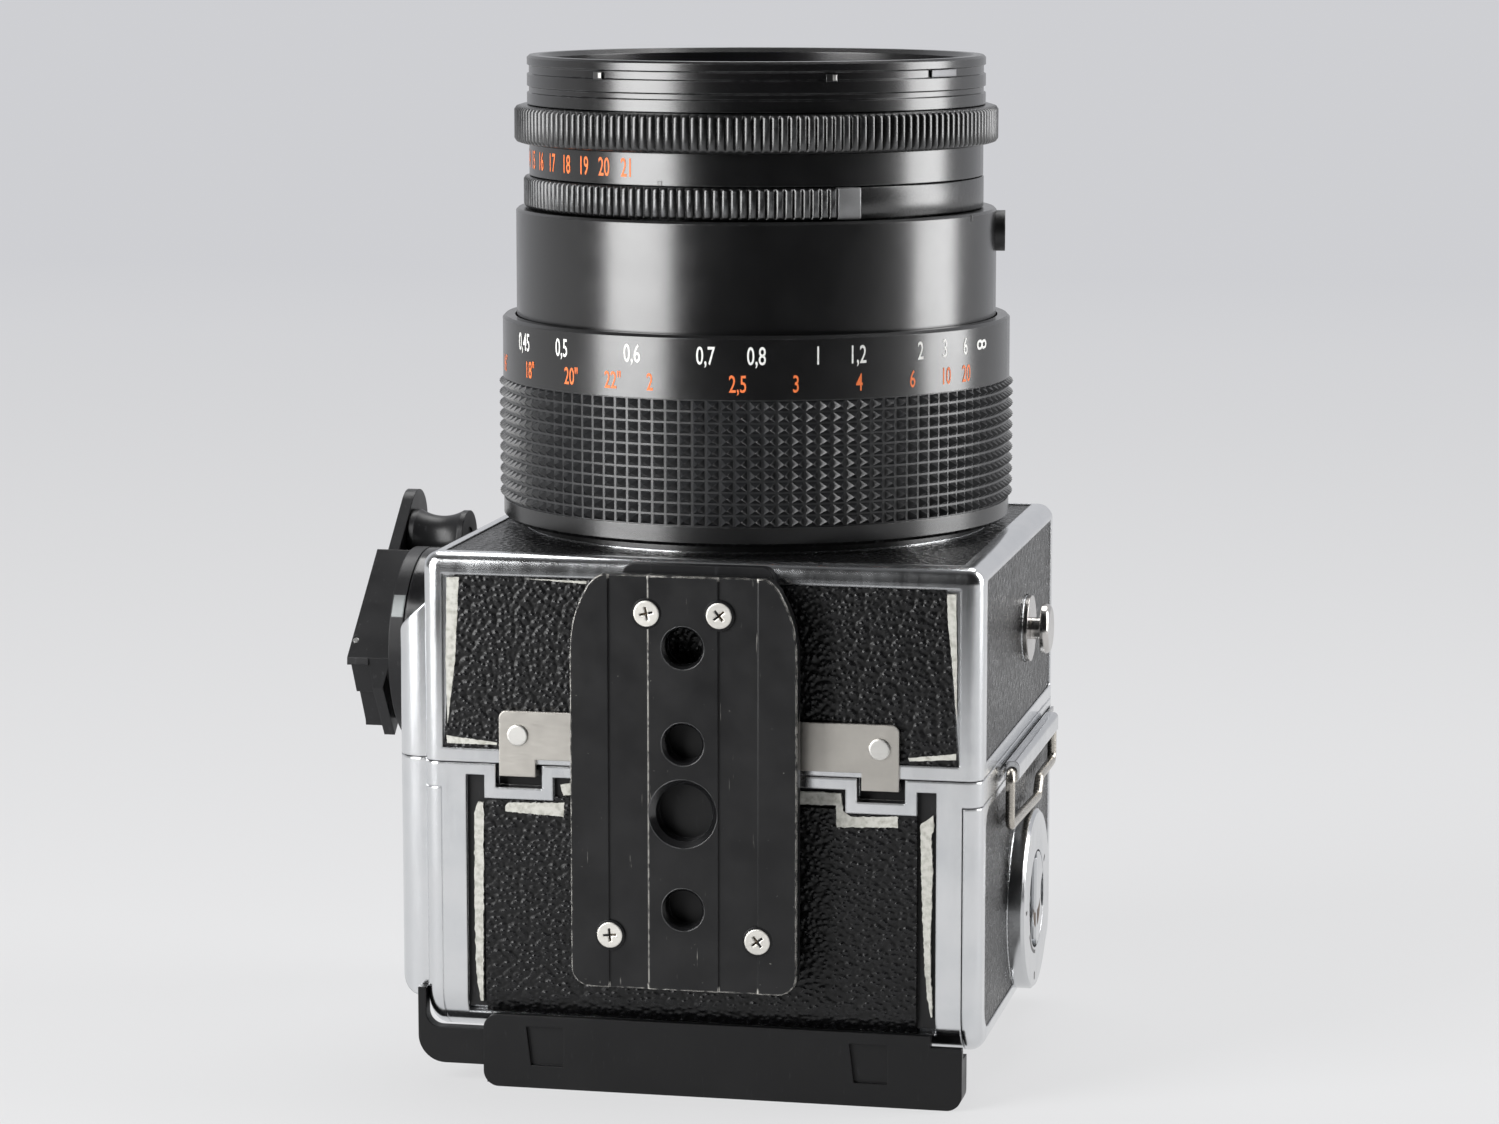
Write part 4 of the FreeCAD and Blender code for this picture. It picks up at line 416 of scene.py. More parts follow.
def set_piece(name, build, materials, body, stands_for=(), crease=35.0, place=None):
    """Put a built piece in the scene, riding on a body. Edges sharper than the crease stay sharp."""
    mesh = as_mesh(name, build)
    if place:
        mesh.transform(place)
    for material in materials:
        mesh.materials.append(material)
    piece = bpy.data.objects.new(name, mesh)
    bpy.context.scene.collection.objects.link(piece)
    if crease:
        mesh.polygons.foreach_set("use_smooth", [True] * len(mesh.polygons))
        mesh.set_sharp_from_angle(angle=math.radians(crease))
    else:
        mesh.polygons.foreach_set("use_smooth", [False] * len(mesh.polygons))
    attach(piece, body)
    if stands_for:
        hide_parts(*stands_for)


def as_mesh(name, build):
    mesh = bpy.data.meshes.new(name)
    bmesh.ops.recalc_face_normals(build, faces=build.faces)
    build.to_mesh(mesh)
    build.free()
    return mesh


def rim_point(radius, bearing, height):
    return Vector((radius * math.cos(bearing), radius * math.sin(bearing), height))


def turn_outline(build, outline, bearings, closed=True, groove=None):
    """Turn (radius, height, share) points about the lens axis. A groove takes its share off each radius."""
    rows = []
    for number, bearing in enumerate(bearings):
        cut = groove(number) if groove else 0.0
        rows.append([build.verts.new(rim_point(radius - share * cut, bearing, height))
                     for radius, height, share in outline])
    pairs = list(zip(rows, rows[1:]))
    if closed:
        pairs.append((rows[-1], rows[0]))
    else:
        build.faces.new(rows[0])
        build.faces.new(list(reversed(rows[-1])))
    for here, there in pairs:
        for low, high in zip(range(len(here)), list(range(1, len(here))) + [0]):
            build.faces.new((here[low], there[low], there[high], here[high]))


def whole_turn(count):
    return [2 * math.pi * number / count for number in range(count)]


def ribbed_outline(bore, radius, low, high, round_off):
    """A ring's outline whose grooves fade out at its rounded rims."""
    flat, shoulder = radius - round_off * 1.6, radius - round_off * 0.5
    return [(bore, low, 0.0), (flat, low, 0.0), (shoulder, low + round_off * 0.35, 0.25),
            (radius, low + round_off * 1.1, 1.0), (radius, high - round_off * 1.1, 1.0),
            (shoulder, high - round_off * 0.35, 0.25), (flat, high, 0.0), (bore, high, 0.0)]


def write_figures(build, text, bearing, radius, height, tall, narrow=0.62, quarter_turns=0):
    """Lay figures on the rim of a ring, reading upright from outside."""
    curve = bpy.data.curves.new("figures", "FONT")
    curve.body = text
    curve.align_x = "CENTER"
    curve.align_y = "CENTER"
    curve.size = 1.0
    curve.resolution_u = 3
    curve.offset = FIGURE_BOLD
    holder = bpy.data.objects.new("figures", curve)
    flat = bpy.data.meshes.new_from_object(holder)
    scale = tall / CAPITAL_SHARE
    verts = []
    for vertex in flat.vertices:
        across, up = vertex.co.x * scale * narrow, vertex.co.y * scale
        for _ in range(quarter_turns):
            across, up = up, -across
        place = rim_point(radius + PAINT_THICK, bearing + across / radius, height + up)
        verts.append(build.verts.new(place))
    for face in flat.polygons:
        build.faces.new([verts[number] for number in face.vertices])
    bpy.data.objects.remove(holder)
    bpy.data.meshes.remove(flat)
    bpy.data.curves.remove(curve)


def ring_patch(build, radius, first, last, low, high, thick=0.00005, material=0):
    """A thin curved plate that follows a ring, between two bearings and two heights."""
    steps = max(2, int(abs(last - first) * radius / (0.5 * MM)))
    before = set(build.faces)
    inner, outer = radius - thick, radius + thick
    outline = [(inner, low, 0), (outer, low, 0), (outer, high, 0), (inner, high, 0)]
    bearings = [first + (last - first) * number / steps for number in range(steps + 1)]
    turn_outline(build, outline, bearings, closed=False)
    for face in set(build.faces) - before:
        face.material_index = material


def flat_plate(outlines, thick, rounding=0.0):
    """A plate cut to one outline with holes, lying in X and Y, its top face at zero."""
    curve = bpy.data.curves.new("plate", "CURVE")
    curve.dimensions = "2D"
    curve.fill_mode = "BOTH"
    curve.extrude = thick / 2 - rounding
    curve.bevel_depth = rounding
    curve.bevel_resolution = 2
    for points in outlines:
        spline = curve.splines.new("POLY")
        spline.points.add(len(points) - 1)
        for number, (x, y) in enumerate(points):
            spline.points[number].co = (x, y, 0, 1)
        spline.use_cyclic_u = True
    holder = bpy.data.objects.new("plate", curve)
    mesh = bpy.data.meshes.new_from_object(holder)
    bpy.data.objects.remove(holder)
    bpy.data.curves.remove(curve)
    mesh.transform(Matrix.Translation((0, 0, -thick / 2)))
    return mesh


def add_mesh(build, mesh, matrix, material=0):
    """Add a mesh to a build, placed by a matrix."""
    before = len(build.faces)
    mesh.transform(matrix)
    build.from_mesh(mesh)
    build.faces.ensure_lookup_table()
    for number in range(before, len(build.faces)):
        build.faces[number].material_index = material
    bpy.data.meshes.remove(mesh)


def circle(radius, count, x=0.0, y=0.0):
    return [(x + radius * math.cos(turn), y + radius * math.sin(turn)) for turn in whole_turn(count)]


def in_metres(points):
    return [(x * MM, y * MM) for x, y in points]


def ragged(points, tear, seed):
    """An outline in millimetres, given back in metres with edges that are torn the same way every time."""
    noise.seed_set(EDGE_SEED)
    torn = []
    step = 0.35
    for here, there in zip(points, points[1:] + points[:1]):
        here, there = Vector(here), Vector(there)
        count = max(1, int((there - here).length / step))
        for number in range(count):
            at = here.lerp(there, number / count)
            shift = noise.noise_vector(Vector((at.x * 1.6, at.y * 1.6, seed * 7.3)))
            torn.append(((at.x + tear * shift.x) * MM, (at.y + tear * shift.y) * MM))
    return torn


def on_underside(x, y, z):
    """Stands a plate that was drawn in X and Y against the underside, its top face towards -Y."""
    return Matrix.Translation((x, y, z)) @ Matrix(((1, 0, 0, 0), (0, 0, -1, 0), (0, 1, 0, 0), (0, 0, 0, 1)))


def node_ring(name):
    """A lens ring's lowest and highest height and its largest radius."""
    low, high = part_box(name)
    return low.z, high.z, max(high.x, high.y, -low.x, -low.y)


class FILMCAMERA_OT_stage(bpy.types.Operator):
    """Lay the pale floor, hang the soft lights and stand the camera at the photograph's angle"""
    bl_idname = "film_camera.stage"
    bl_label = "Stage, lights and camera"

    def execute(self, context):
        scene = context.scene
        scene.view_settings.view_transform = "Standard"
        self.sweep(scene.film_camera_colours.floor)
        self.sky()
        self.lamps()
        self.camera(scene)
        return {"FINISHED"}

    def sweep(self, colour):
        """Paper from the table's front edge that bends up into a backdrop far behind the object."""
        front, bend_from, bend, top, half_wide = -0.44, 2.2, 0.9, 4.0, 9.0
        turns = [math.radians(5 * number) for number in range(19)]
        profile = [(front, 0.0)]
        profile += [(bend_from + bend * math.sin(turn), bend - bend * math.cos(turn)) for turn in turns]
        profile += [(bend_from + bend, top)]
        build = bmesh.new()
        rows = [[build.verts.new((x, y, z)) for x in (-half_wide, half_wide)] for y, z in profile]
        for here, there in zip(rows, rows[1:]):
            build.faces.new((here[0], here[1], there[1], there[0]))
        mesh = as_mesh("floor_sweep", build)
        mesh.materials.append(self.paper(colour))
        floor = bpy.data.objects.new("floor_sweep", mesh)
        bpy.context.scene.collection.objects.link(floor)
        mesh.polygons.foreach_set("use_smooth", [True] * len(mesh.polygons))

    def paper(self, colour):
        """Matt paper that looks evenly pale and still keeps the object's shadow."""
        finish = Finish("floor_paper", colour, roughness=0.9, Specular_IOR_Level=0.2)
        grain = finish.mottle(0.4, 2.0)
        finish.coat("Base Color", finish.blend(grain, colour, shaded(colour, 0.985)))
        depth = finish.node("ShaderNodeSeparateXYZ", Vector=finish.place).outputs["Y"]
        rays = finish.node("ShaderNodeLightPath").outputs
        seen = finish.calc("MAXIMUM", rays["Is Glossy Ray"], rays["Is Transmission Ray"])
        seen = finish.calc("MAXIMUM", rays["Is Camera Ray"], seen)
        near_pale, far_pale = (0.745, 0.745, 0.75), (0.63, 0.635, 0.66)
        pale = finish.blend(finish.span(depth, -0.1, 1.6), near_pale, far_pale)
        glow = finish.node("ShaderNodeEmission", Color=pale, Strength=1.0).outputs[0]
        share = finish.calc("MULTIPLY", seen, finish.span(depth, -0.1, 1.2, 0.84, 0.98))
        both = finish.node("ShaderNodeMixShader", i0=share, i1=finish.shader.outputs[0], i2=glow).outputs[0]
        finish.tree.links.new(both, finish.tree.nodes["Material Output"].inputs["Surface"])
        return finish.material

    def sky(self):
        """Air that is pale to look at and behind the object, and dark in front, as in an unlit studio."""
        world = bpy.data.worlds.new("studio_air")
        bpy.context.scene.world = world
        world.use_nodes = True
        tree = world.node_tree
        place = tree.nodes.new("ShaderNodeTexCoord").outputs["Generated"]
        split = tree.nodes.new("ShaderNodeSeparateXYZ")
        tree.links.new(place, split.inputs[0])
        ramp = tree.nodes.new("ShaderNodeMapRange")
        tree.links.new(split.outputs["Y"], ramp.inputs["Value"])
        for socket, value in (("From Min", -0.30), ("From Max", 0.80), ("To Min", 0.018), ("To Max", 0.55)):
            ramp.inputs[socket].default_value = value
        seen = tree.nodes.new("ShaderNodeLightPath")
        level = tree.nodes.new("ShaderNodeMix")
        tree.links.new(seen.outputs["Is Camera Ray"], level.inputs["Factor"])
        tree.links.new(ramp.outputs[0], level.inputs["A"])
        level.inputs["B"].default_value = 0.68
        tree.links.new(level.outputs[0], tree.nodes["Background"].inputs["Strength"])
        tree.nodes["Background"].inputs["Color"].default_value = (0.98, 0.985, 1.0, 1.0)

    def lamps(self):
        """Two tall soft boxes beside the object and a broad one above and behind it."""
        for name, bearing, away, rise, aim_height, wide, tall, watts in (
                ("soft_left", -134.5, 0.62, 0.42, 0.42, 0.37, 0.80, 8.8),
                ("soft_right", 14.0, 0.62, 0.42, 0.42, 0.31, 0.80, 5.7),
                ("soft_top", 95.0, 0.55, 1.15, 0.08, 0.90, 0.60, 9.0)):
            light = bpy.data.lights.new(name, "AREA")
            light.shape = "RECTANGLE"
            light.size, light.size_y = wide, tall
            light.energy = watts
            lamp = bpy.data.objects.new(name, light)
            lamp.location = rim_point(away, math.radians(bearing), rise)
            aim = Vector((0, 0, aim_height))
            lamp.rotation_euler = (lamp.location - aim).to_track_quat("Z", "Y").to_euler()
            bpy.context.scene.collection.objects.link(lamp)

    def camera(self, scene):
        data = bpy.data.cameras.new("photo_camera")
        data.sensor_fit = "HORIZONTAL"
        data.sensor_width = SENSOR_WIDTH_MM
        data.lens = FOCAL_LENGTH_PIXELS / PHOTO_WIDTH_PIXELS * SENSOR_WIDTH_MM
        data.clip_end = 50.0
        back = rim_point(math.cos(VIEW_RISE), VIEW_BEARING, math.sin(VIEW_RISE))
        right = rim_point(1.0, VIEW_BEARING + math.pi / 2, 0)
        up = back.cross(right)
        turn = Matrix((right, up, back)).transposed().to_4x4()
        camera = bpy.data.objects.new("photo_camera", data)
        camera.matrix_world = Matrix.Translation(VIEW_PLACE) @ turn
        scene.collection.objects.link(camera)
        scene.camera = camera


class FILMCAMERA_OT_chrome_work(bpy.types.Operator):
    """Finish the chromed body, magazine and small fittings"""
    bl_idname = "film_camera.chrome_work"
    bl_label = "Chrome work"

    def execute(self, context):
        colour = tuple(context.scene.film_camera_colours.chrome)
        dress(satin_chrome("satin_chrome", colour),
              "body_shell", "magazine_shell", "magazine_gear_cover", "insert_side_plate")
        # The gear cover is painted black in a ring under the crank's disc, as painted shade in the gap.
        low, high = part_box("crank_hub")
        crank_shade_ring = ((low.y + high.y) / 2, (low.z + high.z) / 2, 0.0158, 0.0171)
        dress(satin_chrome("gear_cover_chrome", colour, shade_ring=crank_shade_ring), "body_gear_cover")
        dress(satin_nickel("lug_nickel", (0.58, 0.56, 0.54), 0.18), "strap_lugs")
        dress(satin_chrome("fitting_chrome", shaded(colour, 0.86), 0.0002),
              "accessory_shoe", "level_case", "release_collar", "release_button", "wind_key",
              "magazine_catch", "key_disc", "key_tab", "slide_grip")
        dress(satin_nickel("hook_nickel"), "hook_plate")
        dress(satin_nickel("rivet_nickel", (0.72, 0.71, 0.68), 0.42), "hook_rivets")
        dress(satin_nickel("bail_nickel", (0.52, 0.49, 0.44), 0.25), "slide_bail")
        return {"FINISHED"}


class FILMCAMERA_OT_leather(bpy.types.Operator):
    """Lay the grain on the leather panels"""
    bl_idname = "film_camera.leather"
    bl_label = "Leather"

    def execute(self, context):
        colour = tuple(context.scene.film_camera_colours.leather)
        pebble = context.scene.film_camera_sizes.leather_pebble
        dress(pebbled_leather("body_leather", colour, pebble),
              "body_leather_under", "body_leather_top", "body_leather_left", "body_leather_right",
              "body_leather_front")
        dress(pebbled_leather("magazine_leather", colour, pebble * 0.85, 0.00023, (1.2, 1.0, 1.0)),
              "magazine_leather", "insert_leather")
        return {"FINISHED"}


class FILMCAMERA_OT_linings(bpy.types.Operator):
    """Lay black sheets of painted shade in the leather's recesses and notches, and show the pale old glue
    where the leather has shrunk
    """
    bl_idname = "film_camera.linings"
    bl_label = "Linings and old glue"

    def execute(self, context):
        black = moulded_plastic("recess_shade_black", (0.006, 0.006, 0.0065), 0.62)
        low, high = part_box("magazine_leather")
        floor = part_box("body_leather_under")[1].y
        shade_sheet_thick, notch_deep, seam_deep, seam_thick = 0.00006, 0.0017, 0.0004, 0.0002
        # Painted shade: black sheets on the recess floor and in the notches, where the recess walls shade
        # them.
        self.sheet("magazine_recess_shade", [self.recess(low, high)], floor, shade_sheet_thick, black, "magazine")
        notches = [in_metres([(left, 50.9), (right, 50.9), (right, 54.6), (left, 54.6)])
                   for left, right in ((-33.7, -25.9), (27.4, 35.2))]
        self.sheet("notch_recess_shade", notches, floor + notch_deep, shade_sheet_thick, black, "magazine")
        seam = in_metres([(-43.0, 54.74), (44.8, 54.74), (44.8, 54.86), (-43.0, 54.86)])
        self.sheet("seam_shadow", [seam], floor + seam_deep, seam_thick, black, "magazine")
        glue = old_glue("old_glue")
        self.sheet("body_glue", self.body_strips(), low.y, 0.00011, glue, "camera_body")
        self.sheet("magazine_glue", self.magazine_strips(), low.y, 0.00064, glue, "magazine")
        return {"FINISHED"}

    def recess(self, low, high):
        """The magazine's recess seen from below, with the two notch frames left out."""
        gap, lift = 0.15 * MM, 0.9 * MM
        left, right, foot, head = low.x - gap, high.x + gap, low.z + lift, high.z + gap
        frames = [edge * MM for edge in (37.25, 25.35, -23.85, -35.75)]
        sill = 48.85 * MM
        outline = [(left, foot), (right, foot), (right, head)]
        for outer, inner in (frames[:2], frames[2:]):
            outline += [(outer, head), (outer, sill), (inner, sill), (inner, head)]
        return outline + [(left, head)]

    def body_strips(self):
        """The torn pale strips beside the body's leather, drawn in X and Z in millimetres."""
        return [ragged(points, 0.10, number) for number, points in enumerate((
            [(-41.9, 85.8), (-39.8, 85.9), (-40.6, 71.7), (-42.0, 61.1), (-42.2, 71.7)],
            [(-42.2, 59.2), (-33.5, 58.3), (-33.6, 57.9), (-42.1, 57.9)],
            [(-28.6, 86.0), (-18.0, 85.9), (-18.0, 85.4)],
            [(42.0, 85.6), (43.5, 85.7), (43.7, 75.3), (43.7, 64.5), (42.8, 75.2), (42.2, 80.7)],
            [(35.8, 58.4), (43.7, 59.4), (43.7, 58.4), (36.0, 57.9)]))]

    def magazine_strips(self):
        """The torn pale strips beside and above the magazine's leather, drawn in the same way."""
        return [ragged(points, 0.16, number + 9) for number, points in enumerate((
            [(-36.9, 48.1), (-37.6, 46.1), (-37.5, 44.3), (-37.6, 33.9), (-37.6, 27.8), (-37.5, 21.7),
             (-37.2, 17.7), (-36.7, 14.2), (-36.2, 14.2), (-36.2, 21.8), (-36.1, 27.9), (-36.0, 37.0),
             (-35.9, 48.0)],
            [(-32.3, 47.5), (-31.7, 48.2), (-22.0, 48.6), (-22.2, 46.2), (-32.2, 46.7)],
            [(-22.7, 51.6), (-20.8, 51.9), (-20.8, 49.9), (-22.2, 49.8)],
            [(17.3, 52.2), (24.6, 52.0), (25.0, 49.2), (26.3, 48.3), (34.1, 48.6), (34.1, 46.8),
             (23.9, 46.4), (23.9, 50.1), (17.3, 50.0)],
            [(37.8, 47.3), (38.0, 40.6), (38.3, 31.0), (38.7, 23.0), (39.2, 18.2), (39.8, 15.2),
             (40.0, 15.4), (39.6, 24.7), (39.7, 31.1), (39.9, 40.7), (39.6, 45.5), (40.2, 47.1),
             (39.9, 49.0)]))]

    def sheet(self, name, outlines, face, thick, material, body):
        """Thin flat pieces that stand a little in front of a face of the underside."""
        lift = 0.00006
        build = bmesh.new()
        for outline in outlines:
            add_mesh(build, flat_plate([outline], thick), on_underside(0, face - lift, 0))
        set_piece(name, build, [material], body, crease=0)


class FILMCAMERA_OT_lens_finish(bpy.types.Operator):
    """Finish the lens barrel, its mount and its glass"""
    bl_idname = "film_camera.lens_finish"
    bl_label = "Lens finish"

    def execute(self, context):
        colour = tuple(context.scene.film_camera_colours.lens_black)
        dress(lens_black("barrel_black", colour),
              "lens_barrel", "focus_ring", "focus_tube", "ev_ring", "front_bezel")
        dress(lens_black("inner_black", shaded(colour, 0.6), 0.1, 0.5),
              "rear_cell", "iris_housing", "sync_socket", "insert_frame", "pressure_plate")
        dress(optical_glass("front_coating", (0.90, 0.93, 0.97)), "front_glass", "rear_glass")
        blades = ["iris_blade_%d" % number for number in range(1, 6)]
        dress(plain_metal("iris_steel", (0.10, 0.10, 0.11), 0.35), *blades)
        return {"FINISHED"}


class FILMCAMERA_OT_ring_marks(bpy.types.Operator):
    """Set the painted shade of the small notches, and the index marks, on the bezel and the rings"""
    bl_idname = "film_camera.ring_marks"
    bl_label = "Notches and index marks"

    def execute(self, context):
        colours = context.scene.film_camera_colours
        # Painted shade for the notches, which are drawn as flat black patches.
        black = lens_black("notch_shade_black", (0.002, 0.002, 0.0022), 0.1, 0.3)
        self.bezel(black)
        orange = scale_paint("orange_marks", tuple(colours.orange_figures))
        white = scale_paint("white_marks", tuple(colours.white_figures))
        low, high = node_ring("aperture_ring")[:2]
        build = bmesh.new()
        self.mark(build, SMOOTH_RING_RADIUS, 95.0, high - 0.0048, high - 0.0008)
        set_piece("aperture_marks", build, [white], "aperture")
        build = bmesh.new()
        self.mark(build, BARREL_RADIUS, -17.2, low - 0.0014, low - 0.0003, 0.014)
        self.mark(build, EXPOSURE_RING_RADIUS, -102.2, high + 0.0002, high + 0.0010, 0.020)
        set_piece("index_notch_shade", build, [black], "barrel")
        low = node_ring("focus_ring")[1] + 0.0004
        build = bmesh.new()
        for bearing in (68.0, 72.5, 81.0, 99.0, 107.5, 112.0):
            self.mark(build, BARREL_RADIUS, bearing, low, low + 0.0020)
        first, last = math.radians(89.2), math.radians(90.8)
        ring_patch(build, BARREL_RADIUS, first, last, low, low + 0.0038, 0.00006, 1)
        set_piece("barrel_marks", build, [white, orange], "barrel")
        return {"FINISHED"}

    def bezel(self, black):
        """Three notches painted as dark patches of shade, each with one bare flank painted bright as its
        highlight, and a grey bar, all a little below the rim.
        """
        bare = satin_nickel("notch_flank_highlight", (0.62, 0.61, 0.59), 0.35)
        grey = satin_nickel("bar_grey", (0.16, 0.16, 0.165), 0.45)
        high, radius = node_ring("front_bezel")[1:]
        build = bmesh.new()
        for bearing, down in ((-120.0, 0.0022), (-60.0, 0.0023), (58.5, 0.0022)):
            turn, top = math.radians(bearing), high - down
            ring_patch(build, radius, turn - 0.024, turn + 0.024, top - 0.0010, top + 0.0002, 0.00006)
            ring_patch(build, radius, turn + 0.004, turn + 0.021, top - 0.0008, top + 0.0001, 0.00008, 1)
        turn = math.radians(-25.5)
        ring_patch(build, radius, turn - 0.09, turn + 0.09, high - 0.0030, high - 0.0018, 0.00006, 2)
        set_piece("bezel_notch_shade", build, [black, bare, grey], "barrel")

    def mark(self, build, radius, bearing, low, high, wide=0.01):
        """A short upright mark on a ring, its width given as an angle."""
        turn = math.radians(bearing)
        ring_patch(build, radius, turn - wide / 2, turn + wide / 2, low, high, 0.00006)


class FILMCAMERA_OT_ribbed_rings(bpy.types.Operator):
    """Cut the fine ribs of the shutter ring and the aperture ring"""
    bl_idname = "film_camera.ribbed_rings"
    bl_label = "Ribbed rings"

    def execute(self, context):
        sizes = context.scene.film_camera_sizes
        colour = tuple(context.scene.film_camera_colours.lens_black)
        self.shutter(sizes, colour)
        self.aperture(sizes, colour)
        return {"FINISHED"}

    def shutter(self, sizes, colour):
        """Ribs all the way round."""
        low, high, radius = node_ring("shutter_ring")
        count = round(2 * math.pi * radius / sizes.rib_pitch)
        build = bmesh.new()
        self.ribs(build, sizes, ribbed_outline(RING_BORE, radius, low, high, 0.0007),
                  whole_turn(count * len(RIB_SHAPE)), True)
        black = lens_black("shutter_rib_black", colour, 0.35, 0.26, radius, (0.030, 0.031, 0.032))
        set_piece("shutter_ring_ribs", build, [black], "shutter", ["shutter_ring"], 60.0)

    def aperture(self, sizes, colour):
        """Ribs over part of the turn, a flat thumb tab painted in lighter grey metal as its highlight, and
        a smooth stretch.
        """
        low, high, radius = node_ring("aperture_ring")
        first, last = math.radians(150.0), math.radians(301.4)
        tab_wide, tab_proud = 0.004, 0.0001
        tab, end = last + tab_wide / radius, first + 2 * math.pi
        steps = round((last - first) * radius / sizes.rib_pitch) * len(RIB_SHAPE)
        build = bmesh.new()
        self.ribs(build, sizes, ribbed_outline(RING_BORE, radius, low, high, 0.0005),
                  self.stretch(first, last, steps), False)
        before = len(build.faces)
        turn_outline(build, ribbed_outline(RING_BORE, radius + tab_proud, low, high, 0.0002),
                     self.stretch(last, tab, 8), closed=False)
        build.faces.ensure_lookup_table()
        for number in range(before, len(build.faces)):
            build.faces[number].material_index = 1
        turn_outline(build, ribbed_outline(RING_BORE, SMOOTH_RING_RADIUS, low, high, 0.0002),
                     self.stretch(tab, end, 160), closed=False)
        black = lens_black("aperture_rib_black", colour, 0.4, 0.26, radius, (0.085, 0.087, 0.09))
        # Painted highlight: the thumb tab's lighter grey stands in for the bright reflection of its flat
        # face.
        thumb = satin_nickel("thumb_tab_painted_highlight", (0.29, 0.292, 0.296), 0.5)
        set_piece("aperture_ring_ribs", build, [black, thumb], "aperture", ["aperture_ring"],
                  60.0)

    def ribs(self, build, sizes, outline, bearings, closed):
        """Turn an outline with a rib's grooves, as many steps to a rib as its shape has."""
        turn_outline(build, outline, bearings, closed,
                     groove=lambda number: sizes.rib_depth * RIB_SHAPE[number % len(RIB_SHAPE)])

    def stretch(self, first, last, steps):
        """Evenly spaced bearings from first to last."""
        return [first + (last - first) * number / steps for number in range(steps + 1)]


class FILMCAMERA_OT_rubber_grip(bpy.types.Operator):
    """Press the pyramid knurl into the rubber focusing grip"""
    bl_idname = "film_camera.rubber_grip"
    bl_label = "Rubber grip"

    def execute(self, context):
        sizes = context.scene.film_camera_sizes
        low, high, radius = node_ring("focus_grip")
        columns, rows = sizes.knurl_columns, sizes.knurl_rows
        tall, step = (high - low) / rows, 2 * math.pi / columns
        foot = radius - sizes.knurl_depth
        # The flat land beside each pyramid, as a share of the pyramid's width.
        land = 0.09
        build = bmesh.new()

        def lay(bearing, height, lift):
            return build.verts.new(rim_point(foot + lift, bearing, height))

        corners = {}
        for column in range(columns):
            for row in range(rows):
                for u in (0, 1):
                    for v in (0, 1):
                        bearing = (column + land + u * (1 - 2 * land)) * step
                        height = low + (row + land + v * (1 - 2 * land)) * tall
                        corners[column, row, u, v] = lay(bearing, height, 0.0)
        for column in range(columns):
            after = (column + 1) % columns
            for row in range(rows):
                a, b, c, d = (corners[column, row, u, v] for u, v in ((0, 0), (1, 0), (1, 1), (0, 1)))
                peak = lay((column + 0.5) * step, low + (row + 0.5) * tall, sizes.knurl_depth)
                for here, there in ((a, b), (b, c), (c, d), (d, a)):
                    build.faces.new((here, there, peak))
                build.faces.new((b, corners[after, row, 0, 0], corners[after, row, 0, 1], c))
                if row + 1 < rows:
                    build.faces.new((d, c, corners[column, row + 1, 1, 0], corners[column, row + 1, 0, 0]))
                    build.faces.new((c, corners[after, row, 0, 1], corners[after, row + 1, 0, 0],
                                     corners[column, row + 1, 1, 0]))
        for row, v, edge in ((0, 0, low), (rows - 1, 1, high)):
            rim = [corners[column, row, u, v] for column in range(columns) for u in (0, 1)]
            bearings = [math.atan2(vertex.co.y, vertex.co.x) for vertex in rim]
            outer = [lay(bearing, edge, 0.0) for bearing in bearings]
            inner = [build.verts.new(rim_point(GRIP_SEAT_RADIUS, bearing, edge)) for bearing in bearings]
            count = len(rim)
            for number in range(count):
                after = (number + 1) % count
                build.faces.new((rim[number], rim[after], outer[after], outer[number]))
                build.faces.new((outer[number], outer[after], inner[after], inner[number]))
        rubber = knurled_rubber("grip_rubber", tuple(context.scene.film_camera_colours.rubber))
        set_piece("grip_knurl", build, [rubber], "focus", ["focus_grip"], 0)
        return {"FINISHED"}


class FILMCAMERA_OT_scales(bpy.types.Operator):
    """Paint the white and orange figures on the focusing ring and the exposure ring"""
    bl_idname = "film_camera.scales"
    bl_label = "Scales"

    def execute(self, context):
        sizes = context.scene.film_camera_sizes
        colours = context.scene.film_camera_colours
        white = scale_paint("white_figures", tuple(colours.white_figures))
        orange = scale_paint("orange_figures", tuple(colours.orange_figures))
        tall = sizes.numeral_height
        top, radius = node_ring("focus_ring")[1:]
        metre_row, foot_row = top - 0.0034, top - 0.0080
        build = bmesh.new()
        for text, bearing in (
                ("0,45", -141.6), ("0,5", -126.0), ("0,6", -106.1), ("0,7", -89.2), ("0,8", -78.2),
                ("1", -64.9), ("1,2", -55.9), ("2", -39.9), ("3", -32.5), ("6", -25.3)):
            write_figures(build, text, math.radians(bearing), radius, metre_row, tall)
        write_figures(build, "8", math.radians(-18.6), radius, metre_row, tall * 1.15, 0.8, quarter_turns=1)
        set_piece("metre_figures", build, [white], "focus", crease=0)
        build = bmesh.new()
        for text, bearing in (
                ('16"', -156.5), ('18"', -138.8), ('20"', -122.9), ('22"', -111.0), ("2", -101.8),
                ("2,5", -82.2), ("3", -69.7), ("4", -55.5), ("6", -42.1), ("10", -32.1), ("20", -24.9)):
            write_figures(build, text, math.radians(bearing), radius, foot_row, tall * 0.95)
        set_piece("foot_figures", build, [orange], "focus", crease=0)
        low, high, radius = node_ring("ev_ring")
        first_value, last_value, last_bearing, value_step = 4, 21, -111.4, 7.1
        build = bmesh.new()
        for value in range(first_value, last_value + 1):
            bearing = last_bearing - (last_value - value) * value_step
            write_figures(build, str(value), math.radians(bearing), radius, (low + high) / 2, 0.0032, 0.58)
        set_piece("exposure_figures", build, [orange], "shutter", crease=0)
        return {"FINISHED"}


